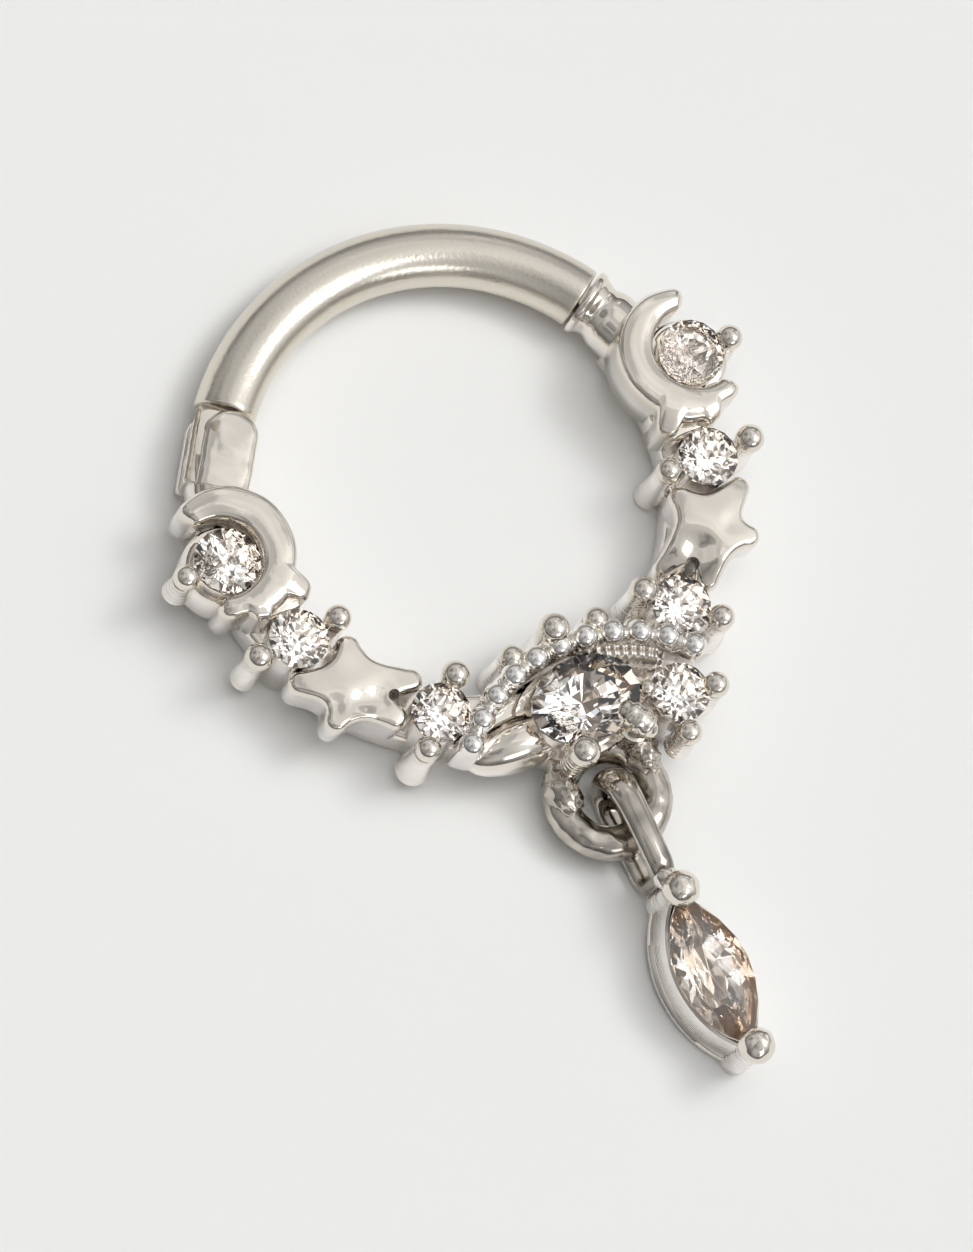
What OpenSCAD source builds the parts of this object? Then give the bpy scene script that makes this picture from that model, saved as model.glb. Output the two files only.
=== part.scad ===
// Hinged clicker ring with moons, stars, clear stones and a lying marquise drop.
// The ring lies on its flat back. Its centre line is upright (+Z) and the drop points to -Y.
// All sizes are in millimetres. Angles are measured round the ring's centre from +X.

/* [Ring] */
// Inside diameter of the closed ring
inner_d = 8; // [6:0.5:12]
// Thickness of the plain round wire of the gate
wire_d = 1.2; // [0.8:0.1:1.6]
// Height of the wire's centre above the flat back
wire_z = 0.75; // [0.65:0.05:1.3]
// Angle of the seam beside the hinge
hinge_seam = 138; // [130:0.5:145]
// Angle of the seam beside the click end
click_seam = 30.5; // [25:0.5:40]
// Open gap at the click seam
seam_gap = 0.05; // [0.02:0.01:0.1]
// Wall between the ring's opening and the outside of the cast band
band_w = 1.08; // [0.8:0.02:1.4]
// Height of the plain part of the cast band
band_h = 0.95; // [0.8:0.05:1.6]

/* [Hinge] */
// Angle of the hinge pin round the ring
pin_angle = 143.5; // [140:0.5:150]
// Radius of the hinge pin
pin_r = 0.2; // [0.12:0.01:0.3]
// Running gap round the pin inside the gate's tongue
pin_gap = 0.03; // [0.01:0.005:0.1]
// Radius of the rounded ear and of the tongue's end
ear_r = 0.4; // [0.3:0.01:0.5]
// Thickness of the gate's flat tongue
tongue_t = 0.44; // [0.3:0.02:0.6]
// Gap between the tongue and each ear
tongue_gap = 0.03; // [0.02:0.005:0.1]

/* [Click tongue] */
// Length of the click tongue past the seam
click_len = 0.4; // [0.2:0.05:0.6]
// Width of the click tongue
click_w = 0.4; // [0.2:0.05:0.6]
// Height of the click tongue
click_h = 0.5; // [0.3:0.05:0.7]
// Gap round the click tongue
click_gap = 0.05; // [0.03:0.01:0.1]

/* [Round stones] */
// Radius of the stone inside each moon
moon_stone_r = 0.64; // [0.4:0.01:0.8]
// Radius of the other round stones
stone_r = 0.575; // [0.4:0.005:0.8]
// Height of the round stones' widest line above the back
girdle_z = 1.72; // [1.5:0.01:2.4]
// Gap between a stone and the metal
stone_gap = 0.03; // [0.02:0.005:0.06]
// Radius of the small ball on each prong
ball_r = 0.25; // [0.15:0.005:0.3]
// Height of the small balls' centres above the back
ball_z = 1.8; // [1.6:0.01:2.4]
// Radius of the prong posts
post_r = 0.23; // [0.1:0.01:0.25]

/* [Moons and stars] */
// Height of the moons above the back
moon_h = 2.05; // [1.5:0.05:2.6]
// Height of the moons' underside above the back
moon_low = 0.8; // [0:0.05:1.2]
// Outside radius of each moon
moon_r = 1.26; // [0.9:0.01:1.5]
// Radius of each moon's hollow
moon_in_r = 0.79; // [0.6:0.01:1.1]
// Half the angle of each moon's opening
moon_open = 59; // [30:1:80]
// Height of the stars above the back
star_h = 1.75; // [1.5:0.05:2.5]
// Height of the stars' underside above the back
star_low = 0.85; // [0:0.05:1.2]
// Distance of the star's longest tip from its centre
star_r = 1.35; // [0.8:0.01:1.6]
// Radius of the rounded star tips
star_tip = 0.19; // [0.1:0.01:0.3]
// Distance of the star's inner corners from its centre
star_in = 0.62; // [0.4:0.01:0.8]
// Radius of the dome that rounds the star's face
star_dome = 3; // [2:0.1:8]

/* [Centre setting] */
// Half the length of the oval stone
oval_a = 1.1; // [0.8:0.01:1.4]
// Half the width of the oval stone
oval_b = 0.82; // [0.6:0.01:1]
// Height of the oval stone's widest line above the back
oval_z = 1.89; // [1.5:0.01:2.6]
// Radius of the two large prong balls below the oval stone
big_ball_r = 0.31; // [0.2:0.01:0.4]
// Height of the large prong balls' centres
big_ball_z = 2.09; // [1.8:0.01:2.8]
// Radius of the arch that carries the row of beads
arch_r = 3.3; // [2.5:0.05:4]
// Width of the arch's rail
arch_w = 0.44; // [0.3:0.02:0.6]
// Height of the arch's rail above the back
arch_h = 1.8; // [1.5:0.05:2.5]
// Radius of the beads on the arch
bead_r = 0.25; // [0.15:0.01:0.3]

/* [Fixed loop and drop] */
// Radius of the fixed loop's wire
loop_wire_r = 0.33; // [0.2:0.01:0.4]
// Middle radius of the fixed loop
loop_r = 0.92; // [0.7:0.01:1.2]
// Height of the fixed loop's centre above the back
loop_z = 0.64; // [0.5:0.01:0.9]
// Height of the drop's bail
bail_h = 1.65; // [1.4:0.05:2.4]
// Thickness of the bail's strap
bail_t = 0.27; // [0.2:0.01:0.4]
// Width of the bail's strap
bail_w = 0.6; // [0.3:0.02:0.7]
// Length of the marquise stone
drop_len = 3; // [2:0.1:4]
// Width of the marquise stone
drop_w = 1.46; // [1:0.02:2]
// Height of the marquise stone's widest line above the back
drop_z = 1.15; // [0.9:0.05:1.8]
// Radius of the drop's two prong balls
drop_ball_r = 0.35; // [0.2:0.01:0.45]
// Slant of the drop, whose upper end rests on its bail
drop_tilt = 4; // [0:0.5:8]

/* [Hidden] */
$fn = 72;
// Radius of the wire's centre line
ring_r = inner_d / 2 + wire_d / 2;
wire_r = wire_d / 2;
// The cast collars are a touch thicker than the gate's wire
collar_r = wire_r + 0.015;
ear_h = wire_d - 0.08;
band_in = inner_d / 2 + 0.02;
// Centre of the hinge pin, set outwards from the wire's centre line
pin_rad = ring_r + 0.16;
pin_x = pin_rad * cos(pin_angle);
pin_y = pin_rad * sin(pin_angle);
// Middle of the click seam seen from the hinge pin
click_dx = ring_r * cos(click_seam) - pin_x;
click_dy = ring_r * sin(click_seam) - pin_y;
click_rad = sqrt(click_dx * click_dx + click_dy * click_dy);
click_dir = atan2(click_dy, click_dx);
// Places of the features on the right-hand side, as x and y from the ring's centre
moon_at = [ring_r + 0.275, 0.46];
moon_in_at = [ring_r + 0.52, 0.45];
s1_at = [ring_r + 0.47, 0.4];
// The stone in the left moon sits a little closer to the moon's back, seen here mirrored
s1_close_at = [ring_r + 0.38, 0.33];
s2_at = [4.42, -1.55];
star_at = [3.85, -2.79];
s3_at = [2.59, -3.91];
side_at = [1.78, -5.41];
oval_at = [0, -4.82];
arch_at = [0, -3.7 - arch_r];
loop_at = [-0.06, -6.46];
drop_at = [0, -10.3];
// Distance between the marquise stone's centre and each prong ball
drop_ball_at = drop_len / 2 + 0.11;
// The whole part is centred on its own box
drop_ball_z = drop_z + 0.4;
part_low = drop_at[1] - drop_ball_at - drop_ball_r - drop_ball_z * sin(drop_tilt);
ring_y = -(part_low + ring_r + wire_r) / 2;

// Shared shapes

// Puts the ring's centre at its place in the part
module placed() translate([0, ring_y, 0]) children();

// Makes a right-hand feature and its mirror image on the left
module both() {
    children();
    mirror([1, 0, 0]) children();
}

// Puts a shape at an x, y place and a height
module at(p, z = 0) translate([p[0], p[1], z]) children();

// A curved length of round rod along the ring, between two angles
module rod(a0, a1, r) rotate([0, 0, a0]) rotate_extrude(angle = a1 - a0)
    translate([ring_r, wire_z]) circle(r);

// The directions at the hinge pin: +X runs along the gate and +Y points out of the ring
module at_pin(z = 0) translate([pin_x, pin_y, z]) rotate([0, 0, pin_angle - 90]) children();

// A ball on a round post
module prong(p, r = ball_r, z = ball_z, pr = post_r, low = 0) {
    at(p, low) cylinder(h = z - low, r = pr);
    at(p, z) sphere(r);
}

// A straight bar that joins a prong's post to the post under its stone
module strut(p, q, low = 0.55, high = 1.3, w = 0.24) {
    len = norm(q - p);
    at(p, low) rotate([0, 0, atan2(q[1] - p[1], q[0] - p[0])])
        translate([0, -w / 2, 0]) cube([len, w, high - low]);
}

// Shapes of the stones

// Height of the face, the girdle's band and the point below it, from a stone's radius
function crown(r) = 0.32 * r;
function band(r) = 0.06 * r;
function below(r) = 0.86 * r;

// A round cut stone: sixteen-sided girdle, eight-sided table and a pointed back
module cut_stone(r) hull() {
    cylinder(h = band(r), r = r, $fn = 16);
    rotate([0, 0, 11.25]) cylinder(h = crown(r), r = 0.62 * r, $fn = 8);
    translate([0, 0, -below(r)]) cylinder(h = below(r), r = 0.04 * r, $fn = 8);
}

// The room kept free for a round cut stone
module stone_room(r) rotate_extrude() polygon([
    [0, -below(r) - 2 * stone_gap], [r + stone_gap, -stone_gap],
    [r + stone_gap, band(r) + stone_gap], [0.66 * r + stone_gap, crown(r) + stone_gap],
    [0, crown(r) + stone_gap]]);

// Points of an oval and of a pointed marquise, counted round from +X
function oval_points(a, b, n) = [for (i = [0:n - 1]) [a * cos(360 * i / n), b * sin(360 * i / n)]];
function lens_r(l, w) = (l * l + w * w) / (4 * w);
function lens_half(l, w) = asin(l / 2 / lens_r(l, w));
function lens_points(l, w, n) = concat(
    [for (i = [0:n - 1]) let(t = -lens_half(l, w) + 2 * lens_half(l, w) * i / n)
        [lens_r(l, w) * cos(t) - lens_r(l, w) + w / 2, lens_r(l, w) * sin(t)]],
    [for (i = [0:n - 1]) let(t = -lens_half(l, w) + 2 * lens_half(l, w) * i / n)
        [-lens_r(l, w) * cos(t) + lens_r(l, w) - w / 2, -lens_r(l, w) * sin(t)]]);

// The oval centre stone
module oval_stone(a, b) hull() {
    linear_extrude(0.05) polygon(oval_points(a, b, 20));
    linear_extrude(0.27) polygon(oval_points(0.62 * a, 0.62 * b, 10));
    translate([0, 0, -0.7]) linear_extrude(0.1) polygon(oval_points(0.3 * a, 0.02, 4));
}

// The marquise stone of the drop
module marquise_stone(l, w) hull() {
    linear_extrude(0.05) polygon(lens_points(l, w, 8));
    linear_extrude(0.26) polygon(lens_points(0.66 * l, 0.6 * w, 5));
    translate([0, 0, -0.62]) linear_extrude(0.1) polygon(lens_points(0.5 * l, 0.04, 2));
}

// Parts of the casting

// The flat plate that lies behind all the features
module base_band() rotate([0, 0, pin_angle + 16 - 360])
    rotate_extrude(angle = 360 - pin_angle - 16 + 18)
        translate([band_in, 0]) square([band_w, band_h]);

// A crescent moon, open to the outside of the ring, with rounded horns
module moon_shape() {
    horn = moon_r - 0.185;
    difference() {
        at(moon_at) circle(moon_r);
        at(moon_in_at) circle(moon_in_r);
        at(moon_at) polygon([[0, 0], for (a = [1 - moon_open, 0, moon_open + 3])
            3 * [cos(a), sin(a)]]);
    }
    for (a = [1 - moon_open, moon_open + 3]) at(moon_at + horn * [cos(a), sin(a)]) circle(0.185);
}

module moon(stone_at) {
    translate([0, 0, moon_low]) linear_extrude(moon_h - moon_low) moon_shape();
    // Floor of the moon's hollow
    at(stone_at, 0.6) cylinder(h = 0.35, r = 0.72);
    at(stone_at, 0.6) cylinder(h = girdle_z - 0.68, r = moon_stone_r - 0.03);
    prong([s1_at[0] + 0.79, s1_at[1] - 0.05], low = 0.9);
    strut(stone_at, [s1_at[0] + 0.79, s1_at[1] - 0.05], 0.95, 1.5);
    // Two lobes that reach from the moon over the next stone's edge
    prong([4.07, -0.93], 0.21, 1.73, 0.2);
    prong([4.95, -0.88], 0.21, 1.7, 0.2, 0.6);
    translate([0, 0, 0.75]) linear_extrude(0.95)
        polygon([[3.88, -0.85], [4.1, -1.1], [5.05, -0.98], [5.15, -0.3], [3.8, -0.2]]);
}

// The star's tips: angle from the outward direction and distance from the centre
star_tips = [[0, 0.66], [68, 0.98], [143, 0.79], [233, 1.01], [277, 0.84]];

// A five-pointed star with rounded tips and one short tip pointing outwards
module star_shape() {
    w = 0.95 * star_tip;
    polygon([for (i = [0:4]) let(a = star_tips[i][0], b = i < 4 ? star_tips[i + 1][0] : 360,
            d = star_tips[i][1] * star_r - star_tip, k = b - a < 60 ? 1.2 * star_in : star_in)
        each [[d * cos(a) + w * sin(a), d * sin(a) - w * cos(a)],
            [d * cos(a) - w * sin(a), d * sin(a) + w * cos(a)],
            k * [cos((a + b) / 2), sin((a + b) / 2)]]]);
    for (t = star_tips) rotate(t[0]) translate([t[1] * star_r - star_tip, 0]) circle(star_tip);
}

module star() at(star_at) rotate([0, 0, atan2(star_at[1], star_at[0])]) intersection() {
    translate([0, 0, star_low]) linear_extrude(star_h - star_low + 0.01) star_shape();
    translate([0, 0, star_h - star_dome]) sphere(star_dome);
}

// The post under a round stone
module seat(p, r) at(p) cylinder(h = girdle_z - 0.08, r = r - 0.03);

// A bored hole behind a stone
module back_hole(p, r = 0.24) at(p, -1) cylinder(h = 3, r = r);

module side_features(stone_at) {
    moon(stone_at);
    star();
    seat(s2_at, stone_r);
    seat(s3_at, stone_r);
    prong([3.57, -1.5], low = 0.2);
    prong([5.3, -1.57], low = 0.5);
    strut(s2_at, [5.3, -1.57]);
    strut(s2_at, [3.57, -1.5], 0.4);
    prong([3.17, -4.45], low = 0.55);
    strut(s3_at, [3.17, -4.45], 0.6);
    prong([2.03, -3.38], low = 0.2);
    strut(s3_at, [2.03, -3.38], 0.4);
}

// The raised arch with its row of beads
module arch() {
    half = 46.5;
    over = 3;
    at(arch_at, 0.7) rotate([0, 0, 90 - half - over]) rotate_extrude(angle = 2 * (half + over))
        translate([arch_r - arch_w / 2, 0]) square([arch_w, arch_h - 0.7]);
    for (i = [0:10]) let(a = 90 - half + 2 * half * i / 10)
        at(arch_at + arch_r * [cos(a), sin(a)], arch_h + 0.08 + 0.07 * sin(18 * i)) sphere(bead_r);
}

// The setting of the oval stone with its prongs
module centre_setting() {
    at(oval_at, 0.4) linear_extrude(0.75) polygon(oval_points(1.28, 0.96, 48));
    at(oval_at, 0.3) linear_extrude(oval_z - 0.4) polygon(oval_points(oval_a - 0.04, oval_b - 0.04, 48));
    prong([-0.56, -5.74], big_ball_r, big_ball_z, 0.26, 0.4);
    prong([0.68, -5.68], big_ball_r, big_ball_z, 0.26, 0.4);
    prong([0, -3.4], 0.3, 2.11, 0.24, 0.2);
    both() prong([0.9, -3.52], 0.24, 1.85, 0.22, 0.2);
    // Smooth wing on the left of the oval stone
    translate([0, 0, 0.6]) linear_extrude(0.75)
        polygon([[-0.8, -4.3], [-2.05, -4.68], [-2.3, -4.85], [-1.5, -5.1], [-0.8, -5.3]]);
}

// The setting of the small stone beside the oval one
module side_setting() {
    seat(side_at, stone_r);
    at([1.45, -5.12], 0.3) cylinder(h = 0.65, r = 0.66);
    prong([2.46, -5.57], low = 0.55);
    strut(side_at, [2.46, -5.57], 0.6);
    prong([1.55, -6.18], low = 0.85);
    strut(side_at, [1.55, -6.18], 0.9, 1.4);
    prong([1.2, -5.1], 0.16, 1.85, 0.12, 0.3);
}

// Outline of the hinge ears between two sides, with a rounded end towards the gate
module ear_shape(inner, outer) {
    intersection() {
        circle(ear_r);
        translate([-1, inner]) square([2, outer - inner]);
    }
    translate([0.02, -0.43]) circle(ear_r - 0.02);
    translate([-0.1, -0.43]) square([ear_r + 0.085, 0.43]);
    translate([-1.3, inner]) square([1.32, outer - inner]);
}

// The two collars: rounded ears at the hinge and a plain end at the click seam
module hinge_collar() {
    slot_h = tongue_t + 2 * tongue_gap;
    difference() {
        union() {
            intersection() {
                rod(pin_angle - 6.5, pin_angle + 22, collar_r);
                at_pin() linear_extrude(4) ear_shape(-1.5, 0.42);
            }
            // The ears' flat faces
            at_pin(wire_z - ear_h / 2) linear_extrude(ear_h) ear_shape(-0.83, 0.26);
        }
        at_pin(wire_z - slot_h / 2) translate([-ear_r - 0.05, -2, 0]) cube([3, 4, slot_h]);
        at_pin(-1) cylinder(h = 4, r = pin_r + 0.012);
    }
}

module click_collar() difference() {
    union() {
        rod(10, click_seam, wire_r);
        rod(12, click_seam - 2, collar_r + 0.04);
    }
    click_tongue(click_gap, click_len + click_gap, 1);
}

// A block that is curved round the hinge pin, so that it can swing out of its pocket
module click_tongue(gap, past, inside) {
    a0 = click_dir - past / click_rad * 180 / PI;
    a1 = click_dir + inside / click_rad * 180 / PI;
    translate([pin_x, pin_y, 0]) rotate([0, 0, a0]) rotate_extrude(angle = a1 - a0)
        translate([click_rad - click_w / 2 - gap, wire_z - click_h / 2 - gap])
            square([click_w + 2 * gap, click_h + 2 * gap]);
}

// The round wire loop soldered under the centre setting
module fixed_loop() at(loop_at, loop_z) rotate_extrude() translate([loop_r, 0]) circle(loop_wire_r);

module casting() color([0.80, 0.79, 0.77]) placed() difference() {
    union() {
        base_band();
        hinge_collar();
        click_collar();
        side_features(s1_at);
        mirror([1, 0, 0]) side_features(s1_close_at);
        arch();
        centre_setting();
        side_setting();
        fixed_loop();
    }
    at(s1_at, girdle_z) stone_room(moon_stone_r);
    mirror([1, 0, 0]) at(s1_close_at, girdle_z) stone_room(moon_stone_r);
    both() at(s2_at, girdle_z) stone_room(stone_r);
    both() at(s3_at, girdle_z) stone_room(stone_r);
    at(side_at, girdle_z) stone_room(stone_r);
    back_hole(s1_at);
    mirror([1, 0, 0]) back_hole(s1_close_at);
    both() back_hole(s2_at);
    both() back_hole(s3_at);
    back_hole(side_at);
    back_hole(oval_at, 0.4);
    at(oval_at, oval_z) hull() {
        linear_extrude(0.12) polygon(oval_points(oval_a + 0.04, oval_b + 0.04, 24));
        linear_extrude(0.32) polygon(oval_points(0.7 * oval_a, 0.7 * oval_b, 24));
        translate([0, 0, -0.03]) linear_extrude(0.1) polygon(oval_points(oval_a + 0.04, oval_b + 0.04, 24));
        translate([0, 0, -0.8]) linear_extrude(0.1) polygon(oval_points(0.36 * oval_a, 0.1, 8));
    }
}

// Gate and pin

module gate() color([0.72, 0.71, 0.68]) placed() {
    difference() {
        union() {
            rod(click_seam + seam_gap / ring_r * 180 / PI, hinge_seam, wire_r);
            // The flat tongue between the ears
            at_pin(wire_z - tongue_t / 2) linear_extrude(tongue_t) {
                circle(ear_r);
                translate([-ear_r + 0.03, -0.6]) square([0.9, 0.6]);
                translate([0, -0.1]) square([0.6, 0.45]);
            }
            click_tongue(0, click_len, 0.3);
        }
        at_pin(-1) cylinder(h = 4, r = pin_r + pin_gap);
    }
}

module hinge_pin() color([0.66, 0.62, 0.54]) placed()
    at_pin(wire_z - 0.56) cylinder(h = 1.12, r = pin_r);

// Stones in their places

module stone_moon_left() color([0.93, 0.90, 0.86]) placed()
    at([-s1_close_at[0], s1_close_at[1]], girdle_z) cut_stone(moon_stone_r);
module stone_moon_right() color([0.93, 0.90, 0.86]) placed()
    at(s1_at, girdle_z) cut_stone(moon_stone_r);
module stone_upper_left() color([0.93, 0.90, 0.86]) placed()
    at([-s2_at[0], s2_at[1]], girdle_z) cut_stone(stone_r);
module stone_upper_right() color([0.93, 0.90, 0.86]) placed()
    at(s2_at, girdle_z) cut_stone(stone_r);
module stone_lower_left() color([0.93, 0.90, 0.86]) placed()
    at([-s3_at[0], s3_at[1]], girdle_z) cut_stone(stone_r);
module stone_lower_right() color([0.93, 0.90, 0.86]) placed()
    at(s3_at, girdle_z) cut_stone(stone_r);
module stone_side() color([0.93, 0.90, 0.86]) placed()
    at(side_at, girdle_z) cut_stone(stone_r);
module stone_centre() color([0.90, 0.92, 0.96]) placed()
    at(oval_at, oval_z) oval_stone(oval_a, oval_b);

// Drop

// A pointed outline made of two arcs
module lens(l, w) intersection() {
    translate([w / 2 - lens_r(l, w), 0]) circle(lens_r(l, w), $fn = 180);
    translate([lens_r(l, w) - w / 2, 0]) circle(lens_r(l, w), $fn = 180);
}

// The strap that hangs the drop on the fixed loop, drawn from the side
module bail_shape(t) {
    r = bail_h / 2 - t;
    translate([-6.9, bail_h / 2]) circle(r);
    translate([-8.5 + 1.5 * t, t]) square([1.6 - 1.5 * t, 2 * r]);
}

module bail() rotate([90, 0, 90]) translate([0, 0, -bail_w / 2]) linear_extrude(bail_w)
    difference() {
        bail_shape(0);
        bail_shape(bail_t);
    }

// The drop lies on its lower end and leans up towards the bail
module leaning() translate([0, drop_at[1] - drop_ball_at, 0.02]) rotate([drop_tilt, 0, 0])
    translate([0, drop_ball_at, 0]) children();

module gallery() {
    linear_extrude(0.2) lens(drop_len + 0.6, drop_w + 0.14);
    linear_extrude(0.34) lens(drop_len + 0.35, drop_w - 0.04);
    translate([0, 0, 0.27]) linear_extrude(drop_z - 0.33) lens(drop_len + 0.34, drop_w + 0.08);
    for (s = [-1, 1]) translate([0, s * drop_ball_at, 0]) {
        cylinder(h = drop_ball_z, r = 0.25);
        translate([0, 0, drop_ball_z]) sphere(drop_ball_r);
    }
}

module drop_setting() color([0.80, 0.79, 0.77]) placed() difference() {
    union() {
        bail();
        leaning() gallery();
    }
    leaning() {
        translate([0, 0, -1]) linear_extrude(5) lens(drop_len - 0.5, drop_w - 0.5);
        translate([0, 0, drop_z - stone_gap]) linear_extrude(0.38) lens(drop_len + 0.1, drop_w + 0.06);
        translate([0, 0, drop_z - 0.4]) linear_extrude(1) lens(drop_len - 0.3, drop_w - 0.2);
    }
}

module stone_drop() color([0.94, 0.80, 0.70]) placed()
    leaning() translate([0, 0, drop_z]) marquise_stone(drop_len, drop_w);

casting();
gate();
hinge_pin();
stone_moon_left();
stone_moon_right();
stone_upper_left();
stone_upper_right();
stone_lower_left();
stone_lower_right();
stone_side();
stone_centre();
drop_setting();
stone_drop();
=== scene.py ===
"""Clicker ring with moons, stars, cut stones and a marquise drop, on a pale floor."""

import math

import bpy
from mathutils import Matrix, Vector


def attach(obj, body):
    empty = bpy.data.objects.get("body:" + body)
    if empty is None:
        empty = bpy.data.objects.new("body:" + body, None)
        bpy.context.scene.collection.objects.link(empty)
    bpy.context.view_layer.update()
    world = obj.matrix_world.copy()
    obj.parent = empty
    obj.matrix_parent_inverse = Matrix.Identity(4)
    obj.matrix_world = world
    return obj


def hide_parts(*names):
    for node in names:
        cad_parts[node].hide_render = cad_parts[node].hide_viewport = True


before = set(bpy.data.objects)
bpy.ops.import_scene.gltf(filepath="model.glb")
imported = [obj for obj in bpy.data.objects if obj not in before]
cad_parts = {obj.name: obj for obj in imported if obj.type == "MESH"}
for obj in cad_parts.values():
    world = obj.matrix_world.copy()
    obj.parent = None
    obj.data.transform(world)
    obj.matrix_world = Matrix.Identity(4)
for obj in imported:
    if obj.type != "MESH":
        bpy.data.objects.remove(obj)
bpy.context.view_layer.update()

bl_info = {
    "name": "Clicker Ring",
    "version": (1, 0, 0),
    "blender": (4, 5, 0),
    "location": "View3D > Sidebar > Clicker Ring",
    "description": "Models a hinged clicker ring with its moons, stars, stones and drop",
    "category": "Add Mesh",
}

# Everything is drawn in millimetres from the ring's centre, and made metres when it is finished
MM = 0.001
RING_Y = 3.58406
TURN = 2 * math.pi

# Sizes and places that the solids have too
RING_R = 4.6
WIRE_R = 0.6
WIRE_Z = 0.75
CLICK_SEAM = 30.5
HINGE_SEAM = 138.0
PIN_ANGLE = math.radians(143.5)
PIN_AT = Vector((4.76 * math.cos(PIN_ANGLE), 4.76 * math.sin(PIN_ANGLE), 0))
GIRDLE_Z = 1.72
MOON_AT = (4.875, 0.46)
S1 = (5.07, 0.40)
S1_CLOSE = (4.98, 0.33)
S2 = (4.42, -1.55)
S3 = (2.59, -3.91)
STAR_AT = (3.85, -2.79)
SIDE = (1.78, -5.41)
OVAL = (0.0, -4.82)
ARCH_AT = (0.0, -7.0)
ARCH_R = 3.3
BEADS = 11
LOOP_AT = (-0.06, -6.46)
LOOP_R = 0.92
LOOP_Z = 0.64
LOOP_WIRE_R = 0.33
DROP_Y = -10.3
DROP_BALL = 1.61
DROP_Z = 1.15
LENS_LONG = 3.0
LENS_WIDE = 1.46
BAND_R = 4.56
BAND_HALF = 0.475
BAND_BORE_R = 0.4
TONGUE_R = 0.4
TONGUE_HALF = 0.21
CATCH_HALF = (0.2, 0.25)
POCKET_HALF = (0.25, 0.3)
COLLAR_START = 8
COLLAR_R = 0.61
EAR_NOSE = 0.4
EAR_BACK = -1.15
EAR_SIDE = 0.42
MOON_R = 1.26
MOON_FACE = 1.22
STAR_FACE = 1.77
PRONG_Z = 1.8
BAR_WIDE = 0.24
BORE_R = 0.24
BEAD_Z = 1.88
OVAL_GIRDLE_Z = 1.89
STRAP_NEAR = -6.9
STRAP_FAR = -8.0

# Places and gaps that the looks alone have
PIT_AT = (3.24, -3.26)
PIT_R = 0.13
FLOOR_GAP = 0.02
CUP_GAP = 0.012

# The photograph's camera: its picture, the ring's place in it and the directions of the view
PICTURE = (973, 1252)
RING_PIXEL = (455.9, 489.3)
FOCAL_PIXELS = 13180
FILM = 36
VIEW_DISTANCE = 247.25
VIEW_RIGHT = (0.8653, -0.4499, 0.2215)
VIEW_BACK = (-0.3194, -0.1539, 0.9351)

# Hollows and swellings of each star's face: where, how wide, and how high
RUMPLES = {
    "right": ((3.5, -3.0, 0.27, -0.07), (3.05, -2.95, 0.22, 0.04),
              (3.7, -3.4, 0.2, 0.05), (4.2, -2.9, 0.2, -0.03)),
    "left": ((3.5, -3.2, 0.25, -0.07), (3.9, -3.08, 0.25, -0.05),
             (4.35, -2.95, 0.22, -0.05), (3.97, -3.4, 0.17, 0.05)),
}

# The studio: each soft patch of light has a direction, a sharpness and a strength, and each card
# that the metal mirrors has a direction, a half angle in degrees and a strength
MIRRORED_PATCHES = (((0.43, -0.42, 0.74), 14.0, 0.45), ((0.85, -0.3, 0.35), 6.0, 0.35),
                    ((-0.73, -0.22, 0.65), 14.0, -0.3))
LIGHTING_PATCHES = (((0.08, 0.0, 1.0), 12.0, 3.4), ((0.5, -0.06, 0.86), 60.0, 12.0))
MIRRORED_CARDS = (((0.36, 0.17, 0.92), 25, 0.24), ((-0.25, -0.4, 0.88), 14, -0.34),
                  ((0.75, 0.35, 0.56), 16, 0.5), ((-0.45, 0.55, 0.7), 17, -0.3))
CARD_SOFTNESS = 0.012


def size_property(label, description, millimetres):
    """A size that a user would change."""
    return bpy.props.FloatProperty(name=label, description=description, default=millimetres * MM,
                                   unit="LENGTH", precision=6)


def colour_property(label, description, colour):
    """A colour that a user would change."""
    return bpy.props.FloatVectorProperty(name=label, description=description, default=colour,
                                         subtype="COLOR", size=3, min=0, max=1)


class RingSizes(bpy.types.PropertyGroup):
    """Sizes in metres that shape the looks of the cast pieces."""

    stone_radius: size_property("Small stones", "Radius of the small round stones", 0.575)
    moon_stone_radius: size_property("Moon stones", "Radius of the stones inside the moons", 0.64)
    ball_radius: size_property("Prong balls", "Radius of the ball on each small prong", 0.25)
    bead_radius: size_property("Arch beads", "Radius of the beads on the arch", 0.25)
    unevenness: size_property("Cast unevenness", "Depth of the soft dents that casting leaves", 0.02)
    drop_tilt: bpy.props.FloatProperty(
        name="Drop slant", description="Slant of the drop, whose upper end rests on its bail",
        default=math.radians(4), unit="ROTATION", subtype="ANGLE")


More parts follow.
